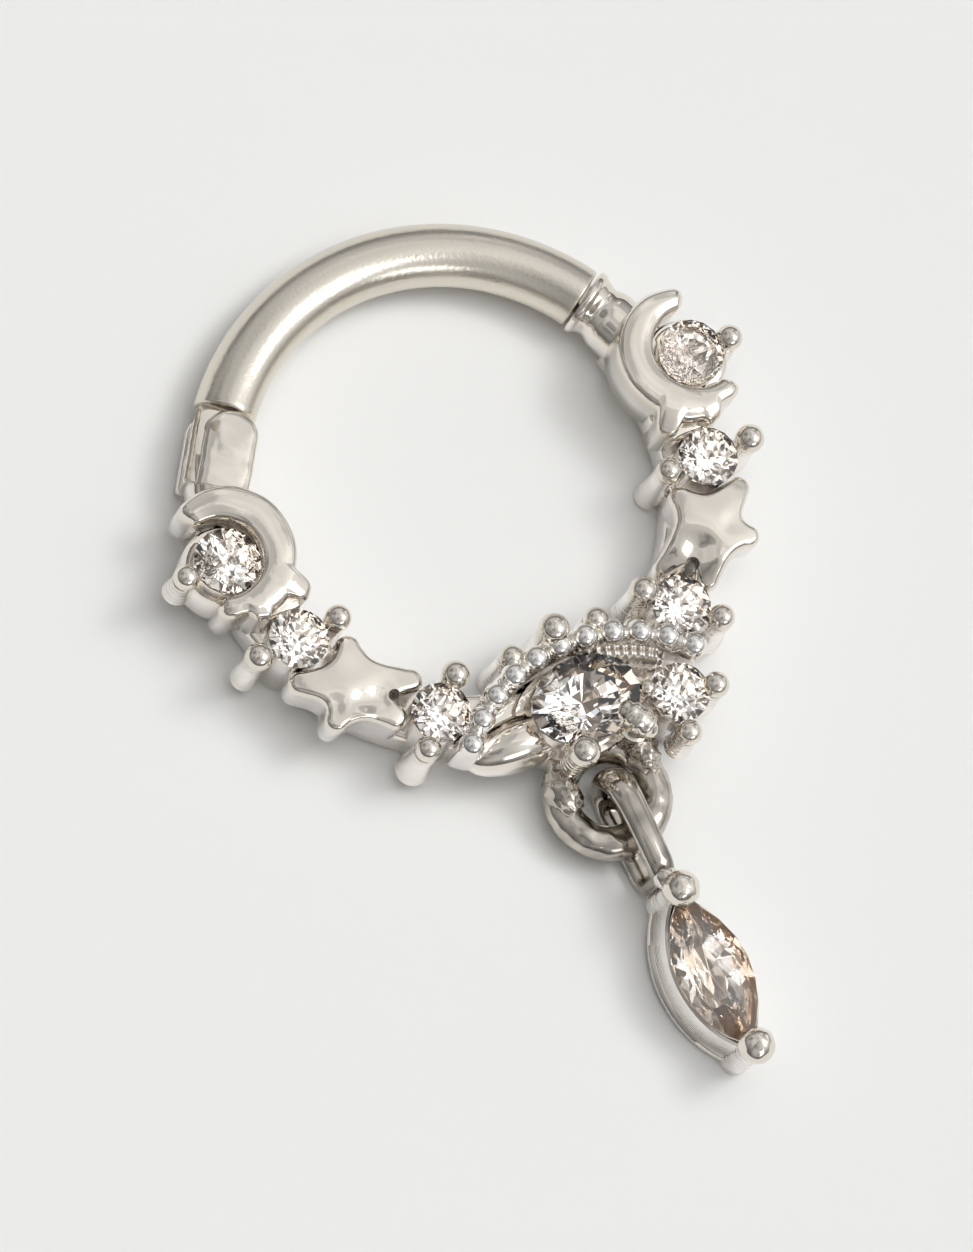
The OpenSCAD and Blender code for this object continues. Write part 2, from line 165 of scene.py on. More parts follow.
class RingColours(bpy.types.PropertyGroup):
    """Colours of the metals, the stones and the floor, and a paler wall colour painted as light."""

    cast_metal: colour_property("Cast metal", "Colour of the polished cast metal", (0.87, 0.815, 0.73))
    # Painted light: the lower upright walls take this paler colour, as if they mirrored a brighter floor
    painted_wall_light: colour_property(
        "Painted wall light", "Colour of the cast metal's upright walls", (1.0, 0.965, 0.94))
    cup_metal: colour_property(
        "Cup", "Colour of the bright cup under the marquise stone", (1.0, 0.93, 0.86))
    wire_metal: colour_property("Gate wire", "Colour of the satin gate wire", (0.78, 0.73, 0.64))
    solder: colour_property(
        "Soldered parts", "Colour of the soldered loop and of the bail", (0.63, 0.585, 0.52))
    pin_metal: colour_property("Hinge pin", "Colour of the dull hinge pin", (0.60, 0.53, 0.43))
    clear_stone: colour_property("Clear stones", "Tint of the clear stones", (0.985, 0.945, 0.90))
    warm_edge: colour_property(
        "Clear stones' edge", "Tint of the clear stones' facets on one side", (0.95, 0.81, 0.67))
    oval_stone: colour_property("Oval stone", "Tint of the oval stone", (0.95, 0.95, 0.955))
    marquise_stone: colour_property("Marquise stone", "Tint of the marquise stone", (0.985, 0.965, 0.93))
    peach_edge: colour_property(
        "Marquise stone's edge", "Tint of the marquise stone's facets on one side", (1.0, 0.68, 0.44))
    floor: colour_property("Floor", "Colour of the pale floor", (0.92, 0.92, 0.905))


# Modelling tools


def choose(*objects):
    """Leaves edit mode and selects these objects alone, the first one active."""
    if bpy.context.mode != "OBJECT":
        bpy.ops.object.mode_set(mode="OBJECT")
    bpy.ops.object.select_all(action="DESELECT")
    for obj in objects:
        obj.select_set(True)
    if objects:
        bpy.context.view_layer.objects.active = objects[0]


def reshaped(obj, *steps):
    """Does steps of edit mode on a whole shape."""
    choose(obj)
    bpy.ops.object.mode_set(mode="EDIT")
    for step in steps:
        bpy.ops.mesh.select_all(action="SELECT")
        step()
    bpy.ops.object.mode_set(mode="OBJECT")
    return obj


def turn_outwards():
    """Turns the faces of the shape in edit mode outwards."""
    bpy.ops.mesh.normals_make_consistent(inside=False)


def close_up(obj, merge=0.0004):
    """Closes a shape's seams and poles and turns its faces outwards."""
    return reshaped(obj, lambda: bpy.ops.mesh.remove_doubles(threshold=merge), turn_outwards)


def loft(name, around, along, rule):
    """A grid whose points are laid on a closed surface by a rule of u and v."""
    choose()
    bpy.ops.mesh.primitive_grid_add(x_subdivisions=around, y_subdivisions=along, size=1)
    obj = bpy.context.object
    obj.name = name
    for vertex in obj.data.vertices:
        vertex.co = rule(vertex.co.x + 0.5, vertex.co.y + 0.5)
    return close_up(obj)


def sweep(name, rows, around, path, section):
    """A section carried along a path. Each row has its place and how full it is."""

    def rule(u, v):
        t, full = rows[round(v * (len(rows) - 1))]
        middle, across, up = path(t)
        x, y = section(t, TURN * u)
        return middle + across * (x * full) + up * (y * full)

    return loft(name, around, len(rows) - 1, rule)


def end_rows(count, length, edge, size):
    """Rows from 0 to 1 whose two ends are flat with a rounded edge."""
    start = [(0.0, 0.0), (0.0, 0.5)]
    for k in range(5):
        a = math.pi / 2 * k / 4
        start.append((edge * (1 - math.cos(a)) / length, 1 - edge / size * (1 - math.sin(a))))
    middle = [(edge / length + (1 - 2 * edge / length) * i / count, 1.0) for i in range(1, count)]
    return start + middle + [(1 - t, full) for t, full in reversed(start)]


def squircle(half_x, half_y, power):
    """A section between an ellipse (2) and a box (large numbers)."""

    def section(_t, a):
        c, s = math.cos(a), math.sin(a)
        return (half_x * math.copysign(abs(c) ** (2 / power), c),
                half_y * math.copysign(abs(s) ** (2 / power), s))

    return section


def round_path(centre, radius, z, start, end):
    """A path round an upright line, from one angle in degrees to another."""

    def path(t):
        a = math.radians(start + (end - start) * t)
        out = Vector((math.cos(a), math.sin(a), 0))
        return Vector((centre[0], centre[1], z)) + out * radius, out, Vector((0, 0, 1))

    return path


def lathe(name, profile, around=40, at=(0, 0)):
    """A profile of radius and height turned round an upright line."""

    def rule(u, v):
        r, z = profile[round(v * (len(profile) - 1))]
        return Vector((at[0] + r * math.cos(TURN * u), at[1] + r * math.sin(TURN * u), z))

    return loft(name, around, len(profile) - 1, rule)


def arc(centre, radius, start, end, count):
    """Points of radius and height on a round profile, between two angles in degrees."""
    points = []
    for i in range(count + 1):
        a = math.radians(start + (end - start) * i / count)
        points.append((max(0.0, centre[0] + radius * math.cos(a)), centre[1] + radius * math.sin(a)))
    return points


def plate(name, outline, low, high, edge=0.05):
    """A flat outline, extruded upwards, with rounded edges."""
    choose()
    bpy.ops.mesh.primitive_circle_add(vertices=len(outline), radius=1, fill_type="NGON")
    obj = bpy.context.object
    obj.name = name
    for vertex, point in zip(obj.data.vertices, outline):
        vertex.co = (point[0], point[1], low)
    move = {"value": (0, 0, high - low)}
    reshaped(obj, lambda: bpy.ops.mesh.extrude_region_move(TRANSFORM_OT_translate=move), turn_outwards)
    if edge:
        finish_with(obj, "BEVEL", width=edge, segments=3, limit_method="ANGLE",
                    angle_limit=math.radians(50))
    return obj


def finish_with(obj, kind, **values):
    """Adds one modifier and applies it."""
    choose(obj)
    modifier = obj.modifiers.new(kind.lower(), kind)
    for key, value in values.items():
        setattr(modifier, key, value)
    bpy.ops.object.modifier_apply(modifier=modifier.name)
    return obj


def cut(obj, tool):
    """Cuts a closed shape out of a piece and removes it."""
    finish_with(obj, "BOOLEAN", operation="DIFFERENCE", object=tool, solver="EXACT")
    choose(tool)
    bpy.ops.object.delete()
    return obj


def drill(obj, at, radius, sides=32, depth=3, middle=0.0):
    """Drills an upright round hole."""
    choose()
    bpy.ops.mesh.primitive_cylinder_add(vertices=sides, radius=radius, depth=depth, location=(*at, middle))
    return cut(obj, bpy.context.object)


def uneven(obj, depth, size, detail=2):
    """Gives a cast piece soft dents and swellings, the same on every run."""
    label = f"dents_{size}_{detail}"
    clouds = bpy.data.textures.get(label) or bpy.data.textures.new(label, "CLOUDS")
    clouds.noise_scale = size
    clouds.noise_depth = detail
    return finish_with(obj, "DISPLACE", texture=clouds, texture_coords="LOCAL", strength=depth,
                       mid_level=0.5)


def joined(name, parts):
    """Joins parts into one piece."""
    choose(*parts)
    if len(parts) > 1:
        bpy.ops.object.join()
    obj = bpy.context.view_layer.objects.active
    obj.name = name
    return obj


def twin(obj, name):
    """A copy with its own mesh."""
    other = obj.copy()
    other.data = obj.data.copy()
    other.name = name
    bpy.context.collection.objects.link(other)
    return other


def flipped(obj):
    """Moves a shape to the left-hand side, with its faces turned outwards again."""
    for vertex in obj.data.vertices:
        vertex.co.x = -vertex.co.x
    return reshaped(obj, turn_outwards)


def finished(obj, *nodes, body="ring", slot="polished_metal", finish="polished_cast", angle=38):
    """Makes a piece metres in size, shades it, and lets it ride and stand for its nodes."""
    choose(obj)
    obj.scale = (MM, MM, MM)
    obj.location = (0, RING_Y * MM, 0)
    bpy.ops.object.transform_apply(location=True, rotation=True, scale=True)
    if angle:
        bpy.ops.object.shade_smooth_by_angle(angle=math.radians(angle), keep_sharp_edges=False)
    obj.data.name = obj.name
    obj.data.materials.clear()
    obj.data.materials.append(finish_of(finish))
    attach(obj, body)
    if nodes:
        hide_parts(*nodes)
    return obj


def at_pin(x, y, z=0.0):
    """A point from the hinge pin: x runs along the gate and y points out of the ring."""
    a = PIN_ANGLE - math.pi / 2
    return (PIN_AT.x + x * math.cos(a) - y * math.sin(a),
            PIN_AT.y + x * math.sin(a) + y * math.cos(a), z)


def click_from_pin():
    """How far the click seam lies from the hinge pin, and in which direction in degrees."""
    a = math.radians(CLICK_SEAM)
    away = Vector((RING_R * math.cos(a), RING_R * math.sin(a), 0)) - PIN_AT
    return away.length, math.degrees(math.atan2(away.y, away.x))


# Materials


def feed(tree, node, inputs):
    """Sets a node's inputs, each to a value or to another node's output."""
    for place, value in inputs.items():
        if isinstance(value, bpy.types.NodeSocket):
            tree.links.new(value, node.inputs[place])
        else:
            node.inputs[place].default_value = value


def add_node(tree, kind, inputs=None, **settings):
    """Adds a shader node with its settings and its inputs."""
    node = tree.nodes.new("ShaderNode" + kind)
    for key, value in settings.items():
        setattr(node, key, value)
    feed(tree, node, inputs or {})
    return node


def worked_out(tree, operation, *values):
    """One step of arithmetic."""
    return add_node(tree, "Math", dict(enumerate(values)), operation=operation).outputs["Value"]


def dot(tree, vector, direction):
    """How far a vector points in a direction."""
    node = add_node(tree, "VectorMath", {0: vector, 1: direction}, operation="DOT_PRODUCT")
    return node.outputs["Value"]


def spread(tree, value, start, end, low=0.0, high=1.0):
    """A value stretched from one range to another, and kept within it."""
    return add_node(tree, "MapRange", {"Value": value, "From Min": start, "From Max": end,
                                       "To Min": low, "To Max": high}).outputs["Result"]


def blended(tree, share, a, b, way="MIX"):
    """Two colours mixed, added or multiplied."""
    return add_node(tree, "Mix", {"Factor": share, "A": a, "B": b},
                    data_type="RGBA", blend_type=way).outputs["Result"]


def ramp(tree, value, first, last, *between, steps="LINEAR"):
    """Colours along a value. Each stop is a place and a colour."""
    node = add_node(tree, "ValToRGB", {"Fac": value})
    node.color_ramp.interpolation = steps
    stops = node.color_ramp.elements
    for stop, (place, colour) in zip(stops, (first, last)):
        stop.position, stop.color = place, (*colour, 1)
    for place, colour in between:
        stops.new(place).color = (*colour, 1)
    return node.outputs["Color"]


def split_up(tree, vector):
    """The three parts of a vector."""
    return add_node(tree, "SeparateXYZ", {"Vector": vector}).outputs


def new_material(name):
    """A material with its node tree and its shader."""
    material = bpy.data.materials.new(name)
    material.use_nodes = True
    return material, material.node_tree, material.node_tree.nodes["Principled BSDF"]


def cast_skin_group():
    """The skin of cast metal: soft tone patches, fine pits, faint lines on its walls and a mask for painted
    wall light.
    """
    name = "cast_skin"
    if name in bpy.data.node_groups:
        return bpy.data.node_groups[name]
    group = bpy.data.node_groups.new(name, "ShaderNodeTree")
    for label, default in (("Patch size", 900.0), ("Pit size", 9000.0), ("Line spacing", 3800.0),
                           ("Line strength", 0.5)):
        knob = group.interface.new_socket(name=label, in_out="INPUT", socket_type="NodeSocketFloat")
        knob.default_value = default
    for label in ("Tone", "Wall light mask", "Relief"):
        group.interface.new_socket(name=label, in_out="OUTPUT", socket_type="NodeSocketFloat")
    knobs = group.nodes.new("NodeGroupInput").outputs
    out = group.nodes.new("NodeGroupOutput")
    place = add_node(group, "TexCoord").outputs["Object"]
    patches = add_node(group, "TexNoise", {"Vector": place, "Scale": knobs["Patch size"], "Detail": 1.0})
    pits = add_node(group, "TexNoise", {"Vector": place, "Scale": knobs["Pit size"], "Detail": 2.0})
    waves = add_node(group, "TexWave", {"Vector": place, "Scale": knobs["Line spacing"],
                                        "Distortion": 1.2, "Detail": 1.0}, bands_direction="Z")
    facing_up = split_up(group, add_node(group, "NewGeometry").outputs["Normal"])["Z"]
    wall = spread(group, worked_out(group, "ABSOLUTE", facing_up), 0.45, 0.05)
    low = spread(group, split_up(group, place)["Z"], 1.7 * MM, 1.3 * MM)
    lined = worked_out(group, "MULTIPLY", wall, waves.outputs["Fac"])
    lined = worked_out(group, "MULTIPLY", lined, knobs["Line strength"])
    feed(group, out, {
        "Tone": patches.outputs["Fac"],
        # Painted light: the lower upright walls, which are painted paler as if they mirrored a brighter floor
        "Wall light mask": worked_out(group, "MULTIPLY", wall, low),
        "Relief": worked_out(group, "MULTIPLY_ADD", pits.outputs["Fac"], 0.2, lined),
    })
    return group


def metal(name, colour, dark, smooth, rough, lines, relief, patch=900.0, pit=9000.0, walls=None):
    """A metal with its tone, gloss and relief from the cast skin, and lower walls painted paler as light if
    asked for.
    """
    material, tree, shader = new_material(name)
    skin = add_node(tree, "Group", {"Patch size": patch, "Pit size": pit, "Line strength": lines},
                    node_tree=cast_skin_group())
    tone = ramp(tree, skin.outputs["Tone"], (0.3, [c * dark for c in colour]), (0.62, colour))
    # Painted light: the lower upright walls take the paler colour, as if they mirrored a brighter floor
    if walls:
        tone = blended(tree, skin.outputs["Wall light mask"], tone, (*walls, 1))
    bump = add_node(tree, "Bump", {"Strength": relief, "Distance": 0.02 * MM,
                                   "Height": skin.outputs["Relief"]})
    feed(tree, shader, {
        "Metallic": 1.0,
        "Base Color": tone,
        "Roughness": spread(tree, skin.outputs["Tone"], 0.3, 0.7, smooth, rough),
        "Normal": bump.outputs["Normal"],
    })
    return material


def edge_of_lens(tree, middle):
    """How near a place on the marquise stone is to its right edge or to one of its ends."""
    place = split_up(tree, add_node(tree, "TexCoord").outputs["Object"])
    along = worked_out(tree, "ADD", place["Y"], -middle)
    along = worked_out(tree, "MULTIPLY", along, 2 / (LENS_LONG * MM))
    half = LENS_WIDE / 2
    bulge = worked_out(tree, "MULTIPLY", along, along)
    bulge = worked_out(tree, "MULTIPLY_ADD", bulge, -half * MM, (half + 0.02) * MM)
    out = worked_out(tree, "DIVIDE", place["X"], bulge)
    ends = worked_out(tree, "MULTIPLY_ADD", worked_out(tree, "ABSOLUTE", along), 2.4, -1.2)
    return worked_out(tree, "MAXIMUM", worked_out(tree, "MULTIPLY_ADD", out, 2.2, -0.75), ends)


def gem(name, colour, side_colour, index, clear, middle=None):
    """A clear cut stone, whose facets that lean to the right and up have a warmer tint.

    The marquise stone, whose middle is given, has that tint along its right edge and at its ends."""
    material, tree, shader = new_material(name)
    if middle:
        tint = ramp(tree, edge_of_lens(tree, middle), (0.1, colour), (0.7, side_colour))
    else:
        normal = add_node(tree, "NewGeometry").outputs["Normal"]
        tint = ramp(tree, dot(tree, normal, (0.885, 0.3, 0.0)), (0.04, colour), (0.3, side_colour))
    feed(tree, shader, {"Base Color": tint, "Transmission Weight": clear, "IOR": index, "Roughness": 0.0})
    return material


def finish_of(name):
    """One of the ring's materials, made the first time it is asked for."""
    if name in bpy.data.materials:
        return bpy.data.materials[name]
    hues = bpy.context.scene.ring_colours
    pale = [0.5 * (c + 1.07) for c in hues.cast_metal]
    # Painted shade: the floors of the stars' pits take this darkened colour, as shade deep in the holes
    dull = [0.3 * c for c in hues.solder]
    # Colour, share of it in the dark patches, least and most roughness, lines, relief, patches, pits and the
    # paler colour painted on the lower walls as light
    metals = {
        "polished_cast": (hues.cast_metal, 0.93, 0.06, 0.12, 0.6, 0.4, 900.0, 9000.0, hues.painted_wall_light),
        "polished_beads": (pale, 0.95, 0.06, 0.12, 0.4, 0.4, 900.0, 9000.0, hues.painted_wall_light),
        "polished_cup": (hues.cup_metal, 0.95, 0.04, 0.08, 0.0, 0.2),
        "satin_wire": (hues.wire_metal, 0.93, 0.19, 0.29, 0.0, 1.0, 500.0, 14000.0),
        "rough_solder": (hues.solder, 0.72, 0.08, 0.25, 0.0, 0.9, 2500.0, 5000.0),
        "painted_pit_shade": (dull, 0.6, 0.15, 0.3, 0.0, 0.9, 2500.0, 5000.0),
        "polished_bail": (hues.solder, 0.5, 0.05, 0.1, 0.0, 0.3, 1800.0),
        "dull_pin": (hues.pin_metal, 0.7, 0.35, 0.5, 0.0, 0.5, 3000.0),
    }
    # Colour, tint of one side, index of refraction and clearness
    stones = {
        "clear_cut_stone": (hues.clear_stone, hues.warm_edge, 2.3, 1.0),
        "oval_cut_stone": (hues.oval_stone, hues.warm_edge, 1.95, 1.0),
        "peach_cut_stone": (hues.marquise_stone, hues.peach_edge, 1.8, 0.89, (RING_Y + DROP_Y) * MM),
    }
    if name in metals:
        return metal(name, *metals[name])
    return gem(name, *stones[name])


# Pieces


class RING_OT_gate(bpy.types.Operator):
    """Models the smooth gate wire with its flat tongue and its click tongue"""

    bl_idname = "ring.gate"
    bl_label = "Gate wire"

    def execute(self, context):
        start = CLICK_SEAM + math.degrees(0.05 / RING_R)
        length = math.radians(HINGE_SEAM - start) * RING_R
        wire = sweep("gate_wire", end_rows(110, length, 0.05, WIRE_R), 56,
                     round_path((0, 0), RING_R, WIRE_Z, start, HINGE_SEAM),
                     squircle(WIRE_R, WIRE_R, 2))
        outline = [at_pin(TONGUE_R * math.cos(math.radians(a)), TONGUE_R * math.sin(math.radians(a)))
                   for a in range(60, 191, 10)]
        outline += [at_pin(-0.37, -0.6), at_pin(0.5, -0.6), at_pin(0.55, 0.3)]
        tongue = plate("hinge_tongue", outline, WIRE_Z - TONGUE_HALF, WIRE_Z + TONGUE_HALF, 0.02)
        away, middle = click_from_pin()
        reach = math.degrees(0.4 / away)
        catch = sweep("click_tongue", end_rows(8, 0.7, 0.03, CATCH_HALF[0]), 32,
                      round_path(PIN_AT, away, WIRE_Z, middle - reach, middle + 3),
                      squircle(*CATCH_HALF, 8))
        finished(joined("gate_wire", [wire, tongue, catch]), "gate",
                 body="gate", slot="satin_metal", finish="satin_wire")
        return {"FINISHED"}


class RING_OT_hinge(bpy.types.Operator):
    """Models the two hinge ears, the solid collar behind them and the pin"""

    bl_idname = "ring.hinge"
    bl_label = "Hinge"

    def execute(self, context):
        def ear(outer, inner, corner):
            """The ear's outline, with two rounded corners towards the gate"""

            def rounded(radius, middle, start):
                """One rounded corner, a quarter of a turn from an angle in degrees"""
                turns = [math.radians(start + 15 * k) for k in range(7)]
                return [at_pin(EAR_NOSE - radius + radius * math.cos(a), middle + radius * math.sin(a))
                        for a in turns]

            back = [at_pin(EAR_BACK, outer), at_pin(EAR_BACK, inner)]
            return rounded(corner, outer - corner, 0) + back + rounded(0.3, inner + 0.3, -90)

        # The upper ear is a domed tongue with a round nose
        nose, whole = 0.46, 1.55
        rows = [(nose * (1 - math.cos(math.pi / 18 * k)), math.sin(math.pi / 18 * k)) for k in range(10)]
        rows += [(nose + (whole - nose) * k / 24, 1.0) for k in range(1, 25)]
        rows += [(whole, 0.6), (whole, 0.0)]
        across = squircle(0.515, 0.17, 3.2)

        def domed(u, v):
            along, full = rows[round(v * (len(rows) - 1))]
            x, y = across(0, TURN * u)
            height = (0.5 + 0.5 * full) * y if along < whole else full * y
            return Vector(at_pin(EAR_NOSE - along, x * full - 0.315, WIRE_Z + 0.41 + height))

        upper = loft("ear_upper", 56, len(rows) - 1, domed)
        step = plate("ear_step", ear(EAR_SIDE, -0.6, 0.35), WIRE_Z + 0.25, WIRE_Z + 0.4, 0.05)
        lower = plate("ear_lower", ear(EAR_SIDE, -0.83, 0.35), WIRE_Z - 0.57, WIRE_Z - 0.25, 0.09)
        back = [at_pin(x, y) for x, y in ((-0.46, 0.38), (EAR_BACK, 0.38), (EAR_BACK, -0.8), (-0.46, -0.8))]
        web = plate("ear_web", back, WIRE_Z - 0.3, WIRE_Z + 0.3, 0.0)
        collar = sweep("hinge_collar", end_rows(24, 1.3, 0.03, 0.6), 48,
                       round_path((0, 0), RING_R, WIRE_Z, 150, 166), squircle(0.6, 0.555, 2.6))
        uneven(upper, 0.05, 0.45, 1)
        seam = sweep("seam", end_rows(40, 1.5, 0.03, 0.04), 12, lambda t: (
            Vector(at_pin(0.3 - 1.4 * t, 0.36, WIRE_Z + 0.39)), Vector((0.8, -0.6, 0)), Vector((0, 0, 1))),
            squircle(0.05, 0.04, 2))
        finished(uneven(seam, 0.05, 0.1), slot="pin_metal", finish="dull_pin", angle=60)
        ears = joined("hinge_ears", [upper, step, lower, web, collar])
        finished(ears, "casting")
        # The pin's profile, with its riveted end on top
        rod = [(0, 0.19), (0.17, 0.19), (0.2, 0.22), (0.2, 1.26), (0.11, 1.28), (0.11, 1.318),
               (0.1, 1.323), (0, 1.324)]
        pin = lathe("hinge_pin_rod", rod, 32, PIN_AT)
        finished(pin, "hinge_pin", slot="pin_metal", finish="dull_pin")
        return {"FINISHED"}


class RING_OT_band(bpy.types.Operator):
    """Models the cast band behind the features, with its bored holes, and the click collar"""

    bl_idname = "ring.band"
    bl_label = "Band and click collar"

    def execute(self, context):
        band = sweep("cast_band", end_rows(150, 17.4, 0.05, BAND_HALF), 32,
                     round_path((0, 0), BAND_R, BAND_HALF, -200.5, 18), squircle(0.54, BAND_HALF, 6))
        for side, places in ((1, (S1, S2, S3)), (-1, (S1_CLOSE, S2, S3))):
            for x, y in places:
                drill(band, (side * x, y), BAND_BORE_R)

        def shoulder(t, a):
            """The collar's section, with a waist and a rim before the seam"""
            angle = COLLAR_START + (CLICK_SEAM - COLLAR_START) * t
            rim = 0.05 / (1 + math.exp((28.6 - angle) * 5))
            r = COLLAR_R + rim - 0.075 * math.exp(-((angle - 25.8) / 1.7) ** 2)
            return r * math.cos(a), r * math.sin(a)

        collar = sweep("click_collar", end_rows(90, 1.8, 0.05, 0.6), 56,
                       round_path((0, 0), RING_R, WIRE_Z, COLLAR_START, CLICK_SEAM), shoulder)
        away, middle = click_from_pin()
        pocket = sweep("pocket", end_rows(6, 1.0, 0.01, POCKET_HALF[0]), 32,
                       round_path(PIN_AT, away, WIRE_Z, middle - 3.1, middle + 3),
                       squircle(*POCKET_HALF, 10))
        cut(collar, pocket)
        finished(joined("cast_band", [band, collar]))
        return {"FINISHED"}


def face_profile(half, height, lip, dome):
    """A closed section with upright walls, rounded lips and a nearly flat face."""
    lip = min(lip, 0.85 * half)
    points = [(-0.9 * half, 0.0), (-half, 0.03), (-half, 0.5 * (height - lip))]
    for k in range(7):
        a = math.pi / 2 * k / 6
        points.append((-half + lip * (1 - math.cos(a)), height - lip * 1.15 * (1 - math.sin(a))))
    flat = half - lip
    for k in range(1, 8):
        x = -flat + 2 * flat * k / 8
        points.append((x, height + dome * (1 - (x / max(flat, 0.001)) ** 2)))
    for k in range(7):
        a = math.pi / 2 * (1 - k / 6)
        points.append((half - lip * (1 - math.cos(a)), height - lip * 1.15 * (1 - math.sin(a))))
    return points + [(half, 0.5 * (height - lip)), (half, 0.03), (0.9 * half, 0.0)]


def moon_half(hollow, hollow_r, stone_at):
    """One moon, drawn on the right, whose lower horn has lobes that reach over the next stone."""
    start, end = 60.0, 308.0
    # Each lobe has its direction in degrees, its width and how far it stands out
    lobes = ((231.5, 9, 0.42), (252, 15, 0.13), (270, 8, 0.17), (298, 9, 0.05))
    dx, dy = hollow[0] - MOON_AT[0], hollow[1] - MOON_AT[1]

    def edges(t):
        degrees = start + (end - start) * t
        a = math.radians(degrees)
        near = dx * math.cos(a) + dy * math.sin(a)
        inner = near + math.sqrt(hollow_r ** 2 - (dx * dx + dy * dy - near * near))
        outer = MOON_R
        for middle, wide, more in lobes:
            outer += more * math.exp(-((degrees - middle) / wide) ** 4)
        return a, inner, outer

    tips = [(0.0, 0.0)] + [(0.04 * (1 - math.cos(math.pi / 2 * k / 6)), math.sin(math.pi / 2 * k / 6))
                           for k in range(1, 6)]
    rows = tips + [(0.04 + 0.92 * i / 150, 1.0) for i in range(151)] + [(1 - t, f) for t, f in reversed(tips)]
    sides = len(face_profile(0.3, 1.0, 0.1, 0.0))

    def rule(u, v):
        t, full = rows[round(v * (len(rows) - 1))]
        a, inner, outer = edges(t)
        half = (outer - inner) / 2
        out = Vector((math.cos(a), math.sin(a), 0))
        # The face stands highest over the moon's back and sinks towards its horns and lobes
        height = MOON_FACE - 0.1 * abs(2 * t - 1) ** 3
        x, y = face_profile(half, height, 0.14, 0.025)[round(u * sides) % sides]
        radius = (inner + outer) / 2 + x * full
        y *= (0.72 + 0.28 * full) * (1 - 0.25 * max(0.0, radius - 1.2))
        return Vector((MOON_AT[0], MOON_AT[1], 0.8)) + out * radius + Vector((0, 0, y))

    moon = loft("moon", sides, len(rows) - 1, rule)
    fill = plate("fill", [(3.86, -0.8), (4.0, -1.0), (4.5, -1.0), (4.95, -0.95), (5.1, -0.8),
                          (5.2, -0.4), (4.6, -0.2), (3.8, -0.3)], 0.75, 1.5, 0.1)
    floor = lathe("floor", [(0.26, 0.5), (0.77, 0.5), (0.77, 1.36), (0.73, 1.42), (0.6, 1.42), (0.52, 1.3),
                            (0.26, 0.97), (0.26, 0.5)],
                  40, stone_at)
    return [moon, fill, floor]


class RING_OT_moons(bpy.types.Operator):
    """Models the two crescent moons"""

    bl_idname = "ring.moons"
    bl_label = "Moons"

    def execute(self, context):
        depth = context.scene.ring_sizes.unevenness / MM
        right = joined("moon_right", moon_half((5.12, 0.44), 0.79, S1))
        left = flipped(joined("moon_left", moon_half((5.07, 0.4), 0.75, S1_CLOSE)))
        for obj in (right, left):
            uneven(obj, 2 * depth, 0.7, 0)
            finished(obj, angle=55)
        return {"FINISHED"}


def star_outline(count):
    """The star's outline from its centre, with rounded tips and soft inner corners."""
    # Each tip has its direction in degrees and its reach
    tips = [(0, 0.71), (65, 0.92), (145, 0.75), (232, 0.99), (277, 0.87)]
    points = []
    for i, (angle, reach) in enumerate(tips):
        following = tips[(i + 1) % 5][0] + (360 if i == 4 else 0)
        a, b = math.radians(angle), math.radians(following)
        d = reach * 1.35 - 0.22
        for k in range(-4, 5):
            turn = a + math.radians(24 * k)
            points.append(Vector((d * math.cos(a) + 0.23 * math.cos(turn),
                                  d * math.sin(a) + 0.23 * math.sin(turn), 0)))
        inner = 0.64 * (1.15 if following - angle < 60 else 1)
        points.append(Vector((inner * math.cos((a + b) / 2), inner * math.sin((a + b) / 2), 0)))
    # Corners are cut twice, which softens them
    for _ in range(2):
        softer = []
        for i, point in enumerate(points):
            after = points[(i + 1) % len(points)]
            softer += [point * 0.75 + after * 0.25, point * 0.25 + after * 0.75]
        points = softer
    lengths = [0.0]
    for i, point in enumerate(points):
        lengths.append(lengths[-1] + (points[(i + 1) % len(points)] - point).length)
    even = []
    place = 0
    for k in range(count):
        target = lengths[-1] * k / count
        while lengths[place + 1] < target:
            place += 1
        share = (target - lengths[place]) / (lengths[place + 1] - lengths[place])
        even.append(points[place].lerp(points[(place + 1) % len(points)], share))
    return even


def rumpled(obj, side):
    """Presses hollows and swellings into a star's face."""
    for vertex in obj.data.vertices:
        if vertex.co.z > 1.0:
            for x, y, wide, lift in RUMPLES[side]:
                near = ((vertex.co.x - x) ** 2 + (vertex.co.y - y) ** 2) / wide ** 2
                vertex.co.z += lift * math.exp(-near)


